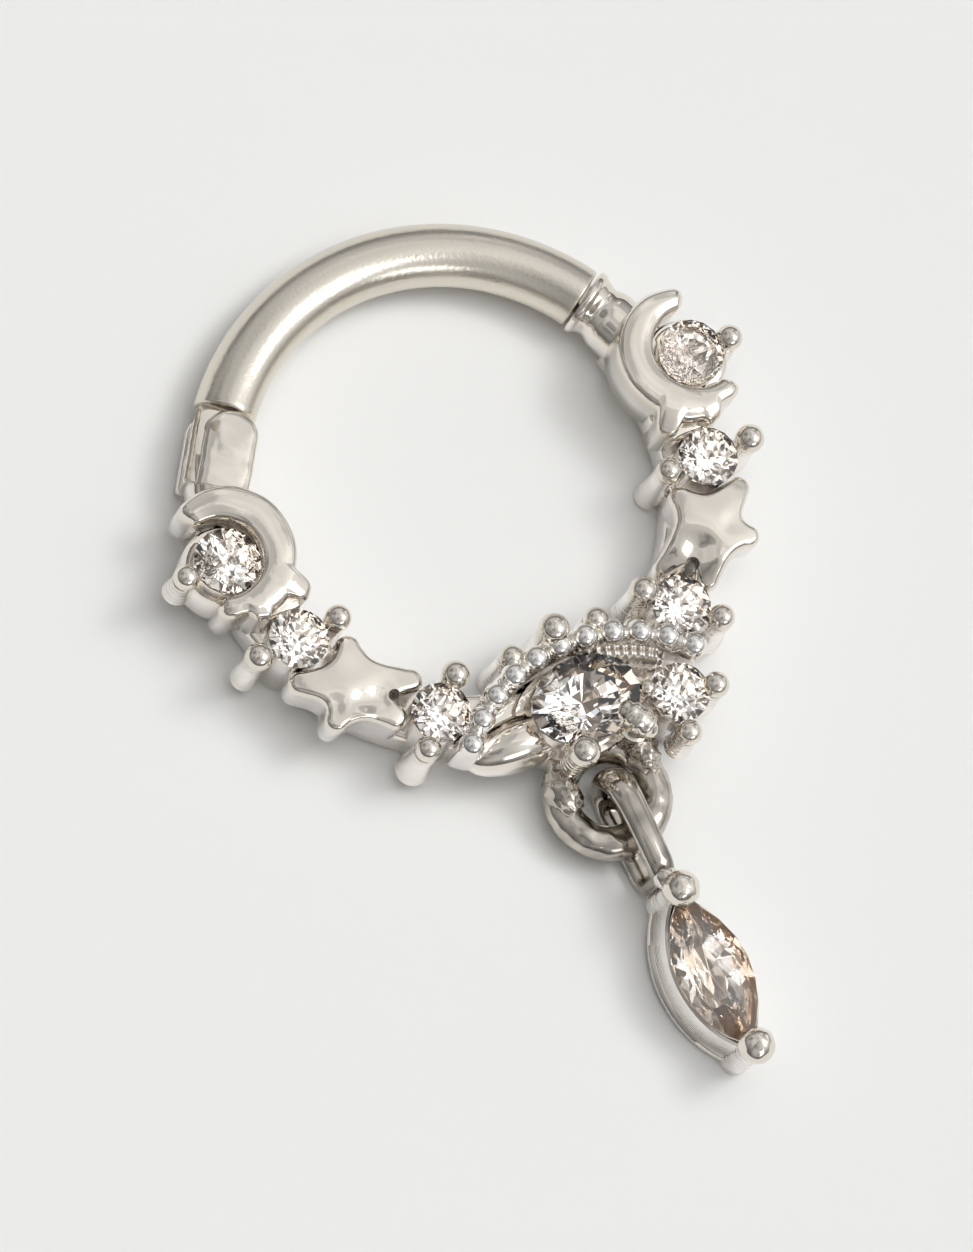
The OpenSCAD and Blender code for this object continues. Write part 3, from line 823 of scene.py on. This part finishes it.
class RING_OT_stars(bpy.types.Operator):
    """Models the two puffy stars"""

    bl_idname = "ring.stars"
    bl_label = "Stars"

    def execute(self, context):
        depth = context.scene.ring_sizes.unevenness / MM
        count = 140
        outline = star_outline(count)
        turn = Matrix.Rotation(math.atan2(STAR_AT[1], STAR_AT[0]), 3, "Z")
        lip = 0.12
        inner = []
        for i, point in enumerate(outline):
            along = outline[(i + 1) % count] - outline[i - 1]
            inner.append(point - Vector((along.y, -along.x, 0)).normalized() * lip)
        # Each row says how far out the lip is (0 to 1), the share of the face, and the height
        rows = [(0.0, i / 28, None) for i in range(29)]
        for k in range(1, 8):
            a = math.pi / 2 * k / 7
            rows.append((math.sin(a), 1.0, 0.17 * (1 - math.cos(a))))
        rows += [(1.0, 1.0, 0.35), (1.0, 0.99, 0.6), (1.0, 0.97, 0.9), (1.0, 0.5, 0.9), (1.0, 0.0, 0.9)]

        def rule(u, v):
            out, share, drop = rows[round(v * (len(rows) - 1))]
            i = round(u * count) % count
            point = inner[i].lerp(outline[i], out) * share
            face = STAR_FACE - 0.1 * (point.length / 1.2) ** 2
            point = turn @ point
            z = face if drop is None else max(0.85, face - drop)
            return Vector((STAR_AT[0] + point.x, STAR_AT[1] + point.y, z))

        right = loft("star_right", count, len(rows) - 1, rule)
        left = twin(right, "star_left")
        # The right star's face bends down towards the lower stone
        for vertex in right.data.vertices:
            if vertex.co.z > 1.0:
                bent = 0.747 * (STAR_AT[0] - vertex.co.x) + 0.664 * (STAR_AT[1] - vertex.co.y) - 0.2
                vertex.co.z -= 0.17 * (bent + math.sqrt(bent * bent + 0.02))
        for obj, side in ((right, "right"), (left, "left")):
            rumpled(obj, side)
            drill(obj, PIT_AT, PIT_R, sides=24, depth=1, middle=1.6)
            plug = PIT_R + 0.006
            # Painted shade: the pit's floor is made dark, as shade deep in the hole
            floor = lathe(f"star_pit_{side}", [(0, 1.0), (plug, 1.0), (plug, 1.42), (0, 1.46)], 24, PIT_AT)
            if side == "left":
                flipped(obj)
                flipped(floor)
            finished(uneven(obj, 2.5 * depth, 0.6, 0), angle=60)
            finished(floor, finish="painted_pit_shade")
        return {"FINISHED"}


def prong(at, r, z, post=0.23, low=0.0, foot=0.27):
    """A ball on a stout, finely ribbed post that grows towards its foot."""
    top = z - 0.72 * r
    foot = max(foot, post)
    profile = [(0, low), (0.9 * foot, low)]
    steps = max(6, round((top - low) / 0.04))
    for i in range(steps + 1):
        share = i / steps
        rib = 0.009 * (1 - math.cos(math.pi / 2 * i))
        thick = foot + (post - foot) * min(1.0, 1.6 * share)
        profile.append((thick - rib, low + 0.02 + (top - low - 0.02) * share))
    profile.append((min(post, 0.8 * r), top + 0.02))
    profile += arc((0, z), r, -42, 90, 16)
    return lathe("prong", profile, 36, at)


def bar(p, q, low, high, width):
    """A soft-edged bar between two places."""
    p, q = Vector((*p, 0)), Vector((*q, 0))
    along = (q - p).normalized()
    side = along.cross(Vector((0, 0, 1)))

    def path(t):
        return p.lerp(q, t) + Vector((0, 0, (low + high) / 2)), side, Vector((0, 0, 1))

    return sweep("bar", end_rows(6, (q - p).length, 0.03, width / 2), 24, path,
                 squircle(width / 2, (high - low) / 2, 3.5))


def held_prong(at, r, low, start, under, over, post=0.23, foot=0.27):
    """A small stone's ball prong, and the bar that holds it from a start."""
    return [prong(at, r, PRONG_Z, post, low, foot), bar(start, at, under, over, BAR_WIDE)]


def seat(at, r, low=0.0):
    """The cup under a round stone, open through its back."""
    top = GIRDLE_Z - 0.06
    profile = [(BORE_R, low), (r - 0.05, low), (r - 0.03, low + 0.03), (r - 0.03, top - 0.04),
               (r - 0.04, top - 0.01), (r - 0.07, top), (r - 0.1, top - 0.03),
               (BORE_R + 0.02, top - 0.42), (BORE_R, top - 0.46), (BORE_R, low)]
    return lathe("seat", profile, 40, at)


class RING_OT_settings(bpy.types.Operator):
    """Models the cups and ball prongs of the small stones"""

    bl_idname = "ring.settings"
    bl_label = "Stone settings"

    def execute(self, context):
        sizes = context.scene.ring_sizes
        r, ball, moon_r = sizes.stone_radius / MM, sizes.ball_radius / MM, sizes.moon_stone_radius / MM
        near = (S1[0] + 0.79, S1[1] - 0.05)
        parts = [seat(S2, r), seat(S3, r)]
        parts += held_prong(near, ball, 0.85, S1, 0.95, 1.45)
        parts += held_prong((3.57, -1.5), ball, 0.1, (3.95, -1.5), 0.4, 1.3)
        parts += held_prong((5.3, -1.57), 1.1 * ball, 0.4, (4.9, -1.56), 0.55, 1.3)
        parts += held_prong((3.17, -4.45), ball, 0.4, (2.95, -4.24), 0.6, 1.3, post=0.25, foot=0.33)
        parts += held_prong((2.03, -3.38), 1.08 * ball, 0.1, (2.25, -3.6), 0.4, 1.3)
        right = joined("settings_right", parts)
        left = flipped(twin(right, "settings_left"))
        right = joined("settings_right", [right, seat(S1, moon_r, 0.5)])
        left = joined("settings_left", [left, flipped(seat(S1_CLOSE, moon_r, 0.5))])
        for obj in (right, left):
            finished(obj)
        return {"FINISHED"}


class RING_OT_arch(bpy.types.Operator):
    """Models the raised arch with its row of beads"""

    bl_idname = "ring.arch"
    bl_label = "Beaded arch"

    def execute(self, context):
        bead = context.scene.ring_sizes.bead_radius / MM

        def ribbed(t, a):
            r = 0.19 + 0.02 * math.sin(TURN * 44 * t)
            return r * math.cos(a), r * math.sin(a)

        def inner_section(t, a):
            r = 1 + 0.06 * math.sin(TURN * 11 * t)
            return 0.15 * r * math.cos(a), 0.36 * r * math.sin(a)

        parts = [sweep("rail", end_rows(80, 5.7, 0.05, 0.22), 32,
                       round_path(ARCH_AT, ARCH_R, 1.25, 40.5, 139.5), squircle(0.22, 0.55, 5)),
                 sweep("inner_ribs", [(i / 180, min(1.0, (i / 24) ** 0.5, ((180 - i) / 60) ** 0.5))
                                      for i in range(181)], 24,
                       round_path(ARCH_AT, ARCH_R - 0.3, 1.2, 50, 84), inner_section),
                 sweep("ribbed_rail", end_rows(330, 5.5, 0.1, 0.2), 24,
                       round_path(ARCH_AT, ARCH_R, 1.78, 41, 139), ribbed)]
        first = lathe("bead", arc((0, 0), bead, -90, 90, 20), 36)
        beads = [first] + [twin(first, "bead") for _ in range(BEADS - 1)]
        for i, obj in enumerate(beads):
            a = math.radians(43.5 + 9.3 * i)
            x, y = ARCH_AT[0] + ARCH_R * math.cos(a), ARCH_AT[1] + ARCH_R * math.sin(a)
            z = BEAD_Z + 0.07 * math.sin(math.pi * i / (BEADS - 1))
            obj.data.transform(Matrix.Translation((x, y, z)))
        parts += beads
        finished(joined("beaded_arch", parts), finish="polished_beads")
        return {"FINISHED"}


def lump(name, at, size, along, ribs=0.0, count=0):
    """A smooth ellipsoid that points along a flat direction, with or without ribs across it."""
    front = Vector((*along, 0)).normalized()
    side = Vector((-front.y, front.x, 0))

    def rule(u, v):
        a = math.pi * v
        r = math.sin(a) * (1 + ribs * math.sin(TURN * count * v))
        return (Vector(at) + front * (size[0] * math.cos(a)) + side * (size[1] * r * math.cos(TURN * u))
                + Vector((0, 0, size[2] * r * math.sin(TURN * u))))

    return loft(name, 48, 64, rule)


def claw():
    """The broad ribbed claw that holds the oval stone's lower right edge."""
    return lump("claw", (0.7, -5.58, 1.98), (0.46, 0.3, 0.31), (-0.45, 0.89), 0.045, 6)


def oval_ring(name, at, profile, around=72):
    """A closed profile of two half-widths and a height, turned round an oval."""

    def rule(u, v):
        a, b, z = profile[round(v * (len(profile) - 1))]
        return Vector((at[0] + a * math.cos(TURN * u), at[1] + b * math.sin(TURN * u), z))

    return loft(name, around, len(profile) - 1, rule)


class RING_OT_centre(bpy.types.Operator):
    """Models the oval stone's setting, its large prongs, the wing and the side setting"""

    bl_idname = "ring.centre"
    bl_label = "Centre setting"

    def execute(self, context):
        sizes = context.scene.ring_sizes
        r, ball = sizes.stone_radius / MM, sizes.ball_radius / MM
        bezel = oval_ring("bezel", OVAL, [
            (0.4, 0.4, 0.3), (1.24, 0.92, 0.4), (1.28, 0.96, 0.46), (1.28, 0.96, 1.08), (1.24, 0.92, 1.15),
            (1.1, 0.8, 1.17), (1.07, 0.79, 1.22), (1.07, 0.79, 1.74), (1.04, 0.76, 1.8), (1.0, 0.72, 1.77),
            (0.5, 0.3, 1.1), (0.4, 0.3, 1.0), (0.4, 0.4, 0.3)])
        prongs = [prong((-0.56, -5.74), 0.31, 2.09, 0.26, 0.4),
                  prong((0.68, -5.68), 0.24, 1.85, 0.26, 0.4), claw(),
                  prong((0, -3.4), 0.3, 2.11, 0.24, 0.1), prong((0.9, -3.52), 0.24, 1.86, 0.22, 0.1),
                  prong((-0.9, -3.52), 0.24, 1.82, 0.22, 0.1)]
        wing = lump("wing", (-1.25, -4.93, 0.98), (1.15, 0.52, 0.62), (0.995, -0.06))
        side = [seat(SIDE, r, 0.3)]
        side += held_prong((2.46, -5.57), ball, 0.55, (2.2, -5.5), 0.6, 1.3)
        side += held_prong((1.55, -6.18), ball, 0.85, (1.66, -5.8), 0.9, 1.4)
        side.append(prong((1.2, -5.1), 0.16, 1.85, 0.12, 0.3, 0.14))
        x, y, base_r = 1.45, -5.12, 0.66
        turns = [TURN * i / 32 for i in range(32)]
        base = plate("side_base", [(x + base_r * math.cos(a), y + base_r * math.sin(a)) for a in turns],
                     0.3, 0.95)
        drill(base, SIDE, BORE_R)
        finished(joined("centre_setting", [bezel, wing, base] + prongs + side))
        return {"FINISHED"}


def blob(at, size, depth=0.12):
    """A rough drop of solder."""
    choose()
    bpy.ops.mesh.primitive_ico_sphere_add(subdivisions=4, radius=1)
    obj = bpy.context.object
    for vertex in obj.data.vertices:
        vertex.co = Vector((at[0] + vertex.co.x * size[0], at[1] + vertex.co.y * size[1],
                            at[2] + vertex.co.z * size[2]))
    return uneven(obj, depth, 0.14)


class RING_OT_loop(bpy.types.Operator):
    """Models the soldered wire loop that carries the drop"""

    bl_idname = "ring.loop"
    bl_label = "Fixed loop"

    def execute(self, context):
        loop = sweep("fixed_loop", [(i / 96, 1.0) for i in range(97)], 40,
                     round_path(LOOP_AT, LOOP_R, LOOP_Z, 0, 360), squircle(LOOP_WIRE_R, LOOP_WIRE_R, 2))
        uneven(loop, 0.06, 0.25)
        left = blob((-0.9, -6.12, 0.85), (0.33, 0.5, 0.36), 0.2)
        right = blob((0.83, -6.0, 0.95), (0.32, 0.45, 0.38), 0.2)
        finished(joined("fixed_loop", [loop, left, right]), finish="rough_solder", angle=60)
        return {"FINISHED"}


def lens(length, width, count):
    """Points of a pointed outline made of two arcs, round its middle."""
    r = (length * length + width * width) / (4 * width)
    half = math.asin(length / 2 / r)
    points = []
    for side in (1, -1):
        for i in range(count // 2):
            a = -half + 2 * half * i / (count // 2)
            points.append(Vector((side * (r * math.cos(a) - r + width / 2), side * r * math.sin(a), 0)))
    return points


def leaning(obj, tilt):
    """Leans a shape of the drop back on its lower end."""
    foot = DROP_Y - DROP_BALL
    place = (Matrix.Translation((0, foot, FLOOR_GAP)) @ Matrix.Rotation(tilt, 4, "X")
             @ Matrix.Translation((0, DROP_BALL, 0)))
    obj.data.transform(place)
    return obj


class RING_OT_drop(bpy.types.Operator):
    """Models the strap bail, the layered marquise setting and its two ball prongs"""

    bl_idname = "ring.drop"
    bl_label = "Drop"

    def execute(self, context):
        tilt = context.scene.ring_sizes.drop_tilt

        def bend(middle, wide, high, start, end, count):
            """An arc of the strap's middle line, without its first point"""
            turns = [math.radians(start + (end - start) * i / count) for i in range(1, count + 1)]
            return [(middle[0] + wide * math.cos(a), middle[1] + high * math.sin(a)) for a in turns]

        # The strap's middle line, seen from the side: over the loop, down to the drop and back
        near, far, shares = STRAP_NEAR, STRAP_FAR, [i / 5 for i in range(1, 6)]
        line = [(near, 0.135)] + bend((near, 0.825), 0.69, 0.69, -90, 90, 24)
        line += [(near + (far - near) * s, 1.515 - 0.09 * s ** 2) for s in shares]
        line += bend((far, 1.095), 0.36, 0.33, 90, 180, 6) + bend((far, 0.495), 0.36, 0.36, 180, 270, 6)
        line += [(far + (near - far) * s, 0.135) for s in shares]
        line = [(y, max(z, 0.165)) for y, z in line]
        count = len(line) - 1

        def path(t):
            i = round(t * count)
            y, z = line[i]
            before, after = line[i - 1 if i else count - 1], line[i + 1 if i < count else 1]
            along = Vector((0, after[0] - before[0], after[1] - before[1])).normalized()
            return Vector((0, y, z)), Vector((1, 0, 0)), along.cross(Vector((1, 0, 0)))

        def strap_section(t, a):
            # The strap is widest where it passes over the loop
            more = math.exp(-((t - 0.33) / 0.2) ** 2)
            return (0.25 + 0.07 * more) * math.cos(a), (0.16 + 0.04 * more) * math.sin(a)

        strap = sweep("bail", [(i / count, 1.0) for i in range(count + 1)], 32, path, strap_section)
        finish_with(strap, "SUBSURF", levels=1, render_levels=1)
        joint = blob((0, -8.42, 1.3), (0.24, 0.26, 0.25), 0.08)
        # Each row of the gallery has its length, its width and its height
        rows = [(2.5, 0.96, 0.02), (3.45, 1.5, 0.0), (3.6, 1.6, 0.04), (3.6, 1.6, 0.15), (3.5, 1.52, 0.2),
                (3.36, 1.43, 0.22), (3.34, 1.42, 0.3), (3.38, 1.5, 0.35), (3.4, 1.55, 0.42),
                (3.36, 1.54, 0.95), (3.3, 1.5, 1.06), (3.15, 1.4, 1.1), (2.98, 1.28, 1.06),
                (2.6, 1.0, 0.8), (2.5, 0.96, 0.7), (2.5, 0.96, 0.02)]
        outlines = [lens(length, width, 96) for length, width, _z in rows]

        def rule(u, v):
            k = round(v * (len(rows) - 1))
            point = outlines[k][round(u * 96) % 96]
            return Vector((point.x, point.y, rows[k][2]))

        gallery = leaning(loft("gallery", 96, len(rows) - 1, rule), tilt)
        upper = leaning(prong((0, DROP_BALL), 0.35, DROP_Z + 0.4, 0.25, 0.0), tilt)
        lower = leaning(prong((0, -DROP_BALL), 0.35, DROP_Z + 0.4, 0.25, 0.0), tilt)
        for obj in (upper, lower):
            uneven(obj, 0.06, 0.3)
        finished(strap, finish="polished_bail", angle=60)
        finished(joined("drop_setting_cast", [gallery, joint, upper, lower]), "drop_setting")
        return {"FINISHED"}


def hull_of(name, points):
    """A closed faceted shape round a set of points."""
    choose()
    bpy.ops.mesh.primitive_circle_add(vertices=max(3, len(points)), radius=1, fill_type="NOTHING")
    obj = bpy.context.object
    obj.name = name
    for vertex, point in zip(obj.data.vertices, points):
        vertex.co = point
    return reshaped(obj, lambda: bpy.ops.mesh.delete(type="EDGE_FACE"), bpy.ops.mesh.convex_hull,
                    turn_outwards, bpy.ops.mesh.faces_shade_flat)


def brilliant(name, middle, outline, crown, band, below, table=0.56, keel=1.0):
    """A cut stone from its outline: sixteen girdle points, a table, kites and a pointed back.

    The outline gives the point at a turn and a share of the full size. The keel lengthens the back."""
    points = [(middle[0], middle[1], -below)]
    for i in range(8):
        whole, half = i / 8, (i + 0.5) / 8
        x, y = outline(whole, table)
        points.append((x, y, crown))
        x, y = outline(half, 0.79)
        points.append((x, y, band + 0.52 * (crown - band)))
        x, y = outline(half, 0.3)
        points.append((x, middle[1] + keel * (y - middle[1]), -below * 0.76))
    for i in range(16):
        x, y = outline(i / 16, 1.0)
        points += [(x, y, band), (x, y, 0.0)]
    return hull_of(name, points)


def cup_under(stone, name):
    """A thin bright cup that lies close under a stone's back."""
    cup = twin(stone, name)
    for vertex in cup.data.vertices:
        vertex.co.z -= CUP_GAP
    choose(cup)
    bpy.ops.object.mode_set(mode="EDIT")
    bpy.ops.mesh.select_mode(type="FACE")
    bpy.ops.mesh.select_all(action="DESELECT")
    bpy.ops.object.mode_set(mode="OBJECT")
    for face in cup.data.polygons:
        face.select = face.normal.z > -0.05
    bpy.ops.object.mode_set(mode="EDIT")
    bpy.ops.mesh.delete(type="FACE")
    bpy.ops.mesh.select_mode(type="VERT")
    bpy.ops.object.mode_set(mode="OBJECT")
    return finish_with(cup, "SOLIDIFY", thickness=0.02, offset=1.0)


class RING_OT_stones(bpy.types.Operator):
    """Models the cut stones: seven round, one oval and one marquise"""

    bl_idname = "ring.stones"
    bl_label = "Stones"

    def execute(self, context):
        sizes = context.scene.ring_sizes

        def round_cut(r, at, turn, name, node):
            def outline(part, share):
                a = TURN * part + turn
                return at[0] + r * share * math.cos(a), at[1] + r * share * math.sin(a)

            stone = brilliant(name, at, outline, crown=0.32 * r, band=0.05 * r, below=0.86 * r)
            stone.data.transform(Matrix.Translation((0, 0, GIRDLE_Z)))
            finished(stone, node, slot="clear_stone", finish="clear_cut_stone", angle=0)

        small, moon = sizes.stone_radius / MM, sizes.moon_stone_radius / MM
        for k, (side, s, at) in enumerate((("right", 1, S1), ("left", -1, S1_CLOSE))):
            round_cut(moon, (s * at[0], at[1]), 0.3 + k, f"gem_moon_{side}", f"stone_moon_{side}")
            round_cut(small, (s * S2[0], S2[1]), 0.9 + k, f"gem_upper_{side}", f"stone_upper_{side}")
            round_cut(small, (s * S3[0], S3[1]), 0.1 + k, f"gem_lower_{side}", f"stone_lower_{side}")
        round_cut(small, SIDE, 0.5, "gem_side", "stone_side")

        def oval(part, share):
            a = TURN * part + 0.2
            return OVAL[0] + 1.1 * share * math.cos(a), OVAL[1] + 0.82 * share * math.sin(a)

        centre = brilliant("gem_centre", OVAL, oval, crown=0.29, band=0.05, below=0.95)
        centre.data.transform(Matrix.Translation((0, 0, OVAL_GIRDLE_Z)))
        finished(cup_under(centre, "centre_cup"), finish="polished_bail", angle=0)
        finished(centre, "stone_centre", slot="clear_stone", finish="oval_cut_stone", angle=0)

        def marquise(part, share):
            points = lens(LENS_LONG * share, LENS_WIDE * share, 64)
            point = points[round(part * 64 + 48) % 64]
            return point.x, point.y

        drop = brilliant("gem_drop", (0, 0), marquise, crown=0.28, band=0.05, below=0.66, keel=1.5)
        drop.data.transform(Matrix.Translation((0, 0, DROP_Z)))
        leaning(drop, sizes.drop_tilt)
        finished(cup_under(drop, "drop_cup"), finish="polished_cup", angle=0)
        finished(drop, "stone_drop", slot="peach_stone", finish="peach_cut_stone", angle=0)
        return {"FINISHED"}


# Stage


def panel_light(name, towards, distance, size, power, colour=(1, 1, 1)):
    """A soft square light that looks at the ring from a direction."""
    light = bpy.data.lights.new(name, "AREA")
    light.shape = "RECTANGLE"
    light.size, light.size_y = size
    light.energy = power
    light.color = colour
    obj = bpy.data.objects.new(name, light)
    towards = Vector(towards).normalized()
    obj.location = towards * distance
    obj.rotation_euler = towards.to_track_quat("Z", "Y").to_euler()
    obj.visible_diffuse = False
    bpy.context.collection.objects.link(obj)
    return obj


def with_patches(tree, place, room, patches):
    """Adds broad soft patches of light to a room."""
    for towards, sharp, strength in patches:
        front = worked_out(tree, "MAXIMUM", dot(tree, place, Vector(towards).normalized()), 0.0)
        patch = worked_out(tree, "MULTIPLY", worked_out(tree, "POWER", front, sharp), strength)
        room = blended(tree, 1.0, room, patch, "ADD")
    return room


def with_cards(tree, place, room, wobble, cards):
    """Adds cards with firm, wavy edges to a room."""
    for towards, angle, strength in cards:
        waved = worked_out(tree, "ADD", dot(tree, place, Vector(towards).normalized()), wobble)
        edge = math.cos(math.radians(angle))
        card = spread(tree, waved, edge - CARD_SOFTNESS, edge + CARD_SOFTNESS, 0.0, strength)
        room = blended(tree, 1.0, room, card, "ADD")
    return room


def make_world():
    """Plain studio surroundings: pale above, a broad soft light on the right, darker low down.

    The metal mirrors a darker room than the one that lights the floor, and the stones see small
    bright and dark patches."""
    world = bpy.data.worlds.new("studio")
    bpy.context.scene.world = world
    world.use_nodes = True
    tree = world.node_tree
    place = add_node(tree, "TexCoord").outputs["Generated"]
    height = ramp(tree, split_up(tree, place)["Z"], (0.0, [0.12] * 3), (1.0, [0.66] * 3),
                  (0.25, [0.28] * 3), (0.5, [0.50] * 3), (0.8, [0.62] * 3))
    drift = add_node(tree, "TexNoise", {"Vector": place, "Scale": 1.7, "Detail": 1.0}).outputs["Fac"]
    mirrored_room = blended(tree, 1.0, height, spread(tree, drift, 0.35, 0.65, 0.78, 1.2), "MULTIPLY")
    mirrored_room = with_patches(tree, place, mirrored_room, MIRRORED_PATCHES)
    wobble = worked_out(tree, "MULTIPLY_ADD", drift, 0.3, -0.15)
    mirrored_room = with_cards(tree, place, mirrored_room, wobble, MIRRORED_CARDS)
    lit_room = with_patches(tree, place, (0.13, 0.13, 0.13, 1), LIGHTING_PATCHES)
    cells = add_node(tree, "TexVoronoi", {"Vector": place, "Scale": 3.2})
    each = add_node(tree, "SeparateColor", {"Color": cells.outputs["Color"]})
    glints = ramp(tree, each.outputs["Red"], (0.0, (0.075, 0.055, 0.04)), (0.74, (1.0, 1.0, 1.0)),
                  (0.14, (0.15, 0.115, 0.085)), (0.3, (0.24, 0.215, 0.19)),
                  (0.46, (0.38, 0.365, 0.345)), (0.6, (0.55, 0.545, 0.54)), steps="CONSTANT")
    glints = blended(tree, 1.0, glints, (1.65, 1.65, 1.65, 1), "MULTIPLY")
    ray = add_node(tree, "LightPath").outputs
    room = blended(tree, ray["Is Diffuse Ray"], mirrored_room, lit_room)
    room = blended(tree, ray["Is Transmission Ray"], room, glints)
    feed(tree, tree.nodes["Background"], {"Color": room, "Strength": 1.0})


def photo_camera():
    """The camera of the photograph, from the ring's place in the picture and the view's directions."""
    centre = Vector((0, RING_Y, WIRE_Z))
    right = Vector(VIEW_RIGHT).normalized()
    back = Vector(VIEW_BACK).normalized()
    right = (right - back * right.dot(back)).normalized()
    up = back.cross(right)
    side = (RING_PIXEL[0] - PICTURE[0] / 2) / FOCAL_PIXELS
    rise = (PICTURE[1] / 2 - RING_PIXEL[1]) / FOCAL_PIXELS
    place = centre + VIEW_DISTANCE * (back - right * side - up * rise)
    camera = bpy.data.cameras.new("camera")
    camera.lens = FOCAL_PIXELS / PICTURE[1] * FILM
    camera.sensor_width = FILM
    camera.clip_start, camera.clip_end = 0.01, 10
    eye = bpy.data.objects.new("camera", camera)
    eye.matrix_world = Matrix((
        (right.x, up.x, back.x, place.x * MM),
        (right.y, up.y, back.y, place.y * MM),
        (right.z, up.z, back.z, place.z * MM),
        (0, 0, 0, 1)))
    return eye


class RING_OT_stage(bpy.types.Operator):
    """Makes the pale floor, the soft lights and the camera"""

    bl_idname = "ring.stage"
    bl_label = "Stage"

    def execute(self, context):
        choose()
        bpy.ops.mesh.primitive_plane_add(size=0.6, location=(0, 0, 0))
        floor = context.object
        floor.name = "pale_floor"
        paper, tree, shader = new_material("pale_floor")
        grain = add_node(tree, "TexNoise", {"Vector": add_node(tree, "TexCoord").outputs["Object"],
                                            "Scale": 120.0})
        colour = context.scene.ring_colours.floor
        tone = ramp(tree, grain.outputs["Fac"], (0.0, [c * 0.985 for c in colour]), (1.0, colour))
        feed(tree, shader, {"Base Color": tone, "Roughness": 0.85, "Specular IOR Level": 0.2})
        floor.data.materials.append(paper)
        make_world()
        panel_light("front_panel", (0.0, -0.9, 0.43), 0.5, (0.22, 0.13), 0.16)
        panel_light("key_panel", (0.43, -0.42, 0.74), 0.5, (0.26, 0.26), 0.42)
        eye = photo_camera()
        context.collection.objects.link(eye)
        context.scene.camera = eye
        context.scene.view_settings.view_transform = "Standard"
        return {"FINISHED"}


class RING_PT_panel(bpy.types.Panel):
    """The ring's pieces, sizes and colours"""

    bl_idname = "RING_PT_panel"
    bl_label = "Clicker Ring"
    bl_space_type = "VIEW_3D"
    bl_region_type = "UI"
    bl_category = "Clicker Ring"

    def draw(self, context):
        column = self.layout.column()
        for operator in OPERATORS:
            column.operator(operator.bl_idname)
        for group in (context.scene.ring_sizes, context.scene.ring_colours):
            column.separator()
            for name in group.bl_rna.properties.keys():
                if name not in ("rna_type", "name"):
                    column.prop(group, name)


OPERATORS = (RING_OT_gate, RING_OT_hinge, RING_OT_band, RING_OT_moons, RING_OT_stars,
             RING_OT_settings, RING_OT_arch, RING_OT_centre, RING_OT_loop, RING_OT_drop,
             RING_OT_stones, RING_OT_stage)
CLASSES = (RingSizes, RingColours) + OPERATORS + (RING_PT_panel,)


def register():
    """Registers the classes and gives the scene its sizes and colours."""
    for kind in CLASSES:
        bpy.utils.register_class(kind)
    bpy.types.Scene.ring_sizes = bpy.props.PointerProperty(type=RingSizes)
    bpy.types.Scene.ring_colours = bpy.props.PointerProperty(type=RingColours)


def unregister():
    """Takes the sizes, the colours and the classes away again."""
    del bpy.types.Scene.ring_colours
    del bpy.types.Scene.ring_sizes
    for kind in reversed(CLASSES):
        bpy.utils.unregister_class(kind)


def main():
    """Makes the pieces and the stage in order."""
    register()
    for operator in OPERATORS:
        group, call = operator.bl_idname.split(".")
        getattr(getattr(bpy.ops, group), call)()
    choose()


if __name__ == "__main__":
    main()
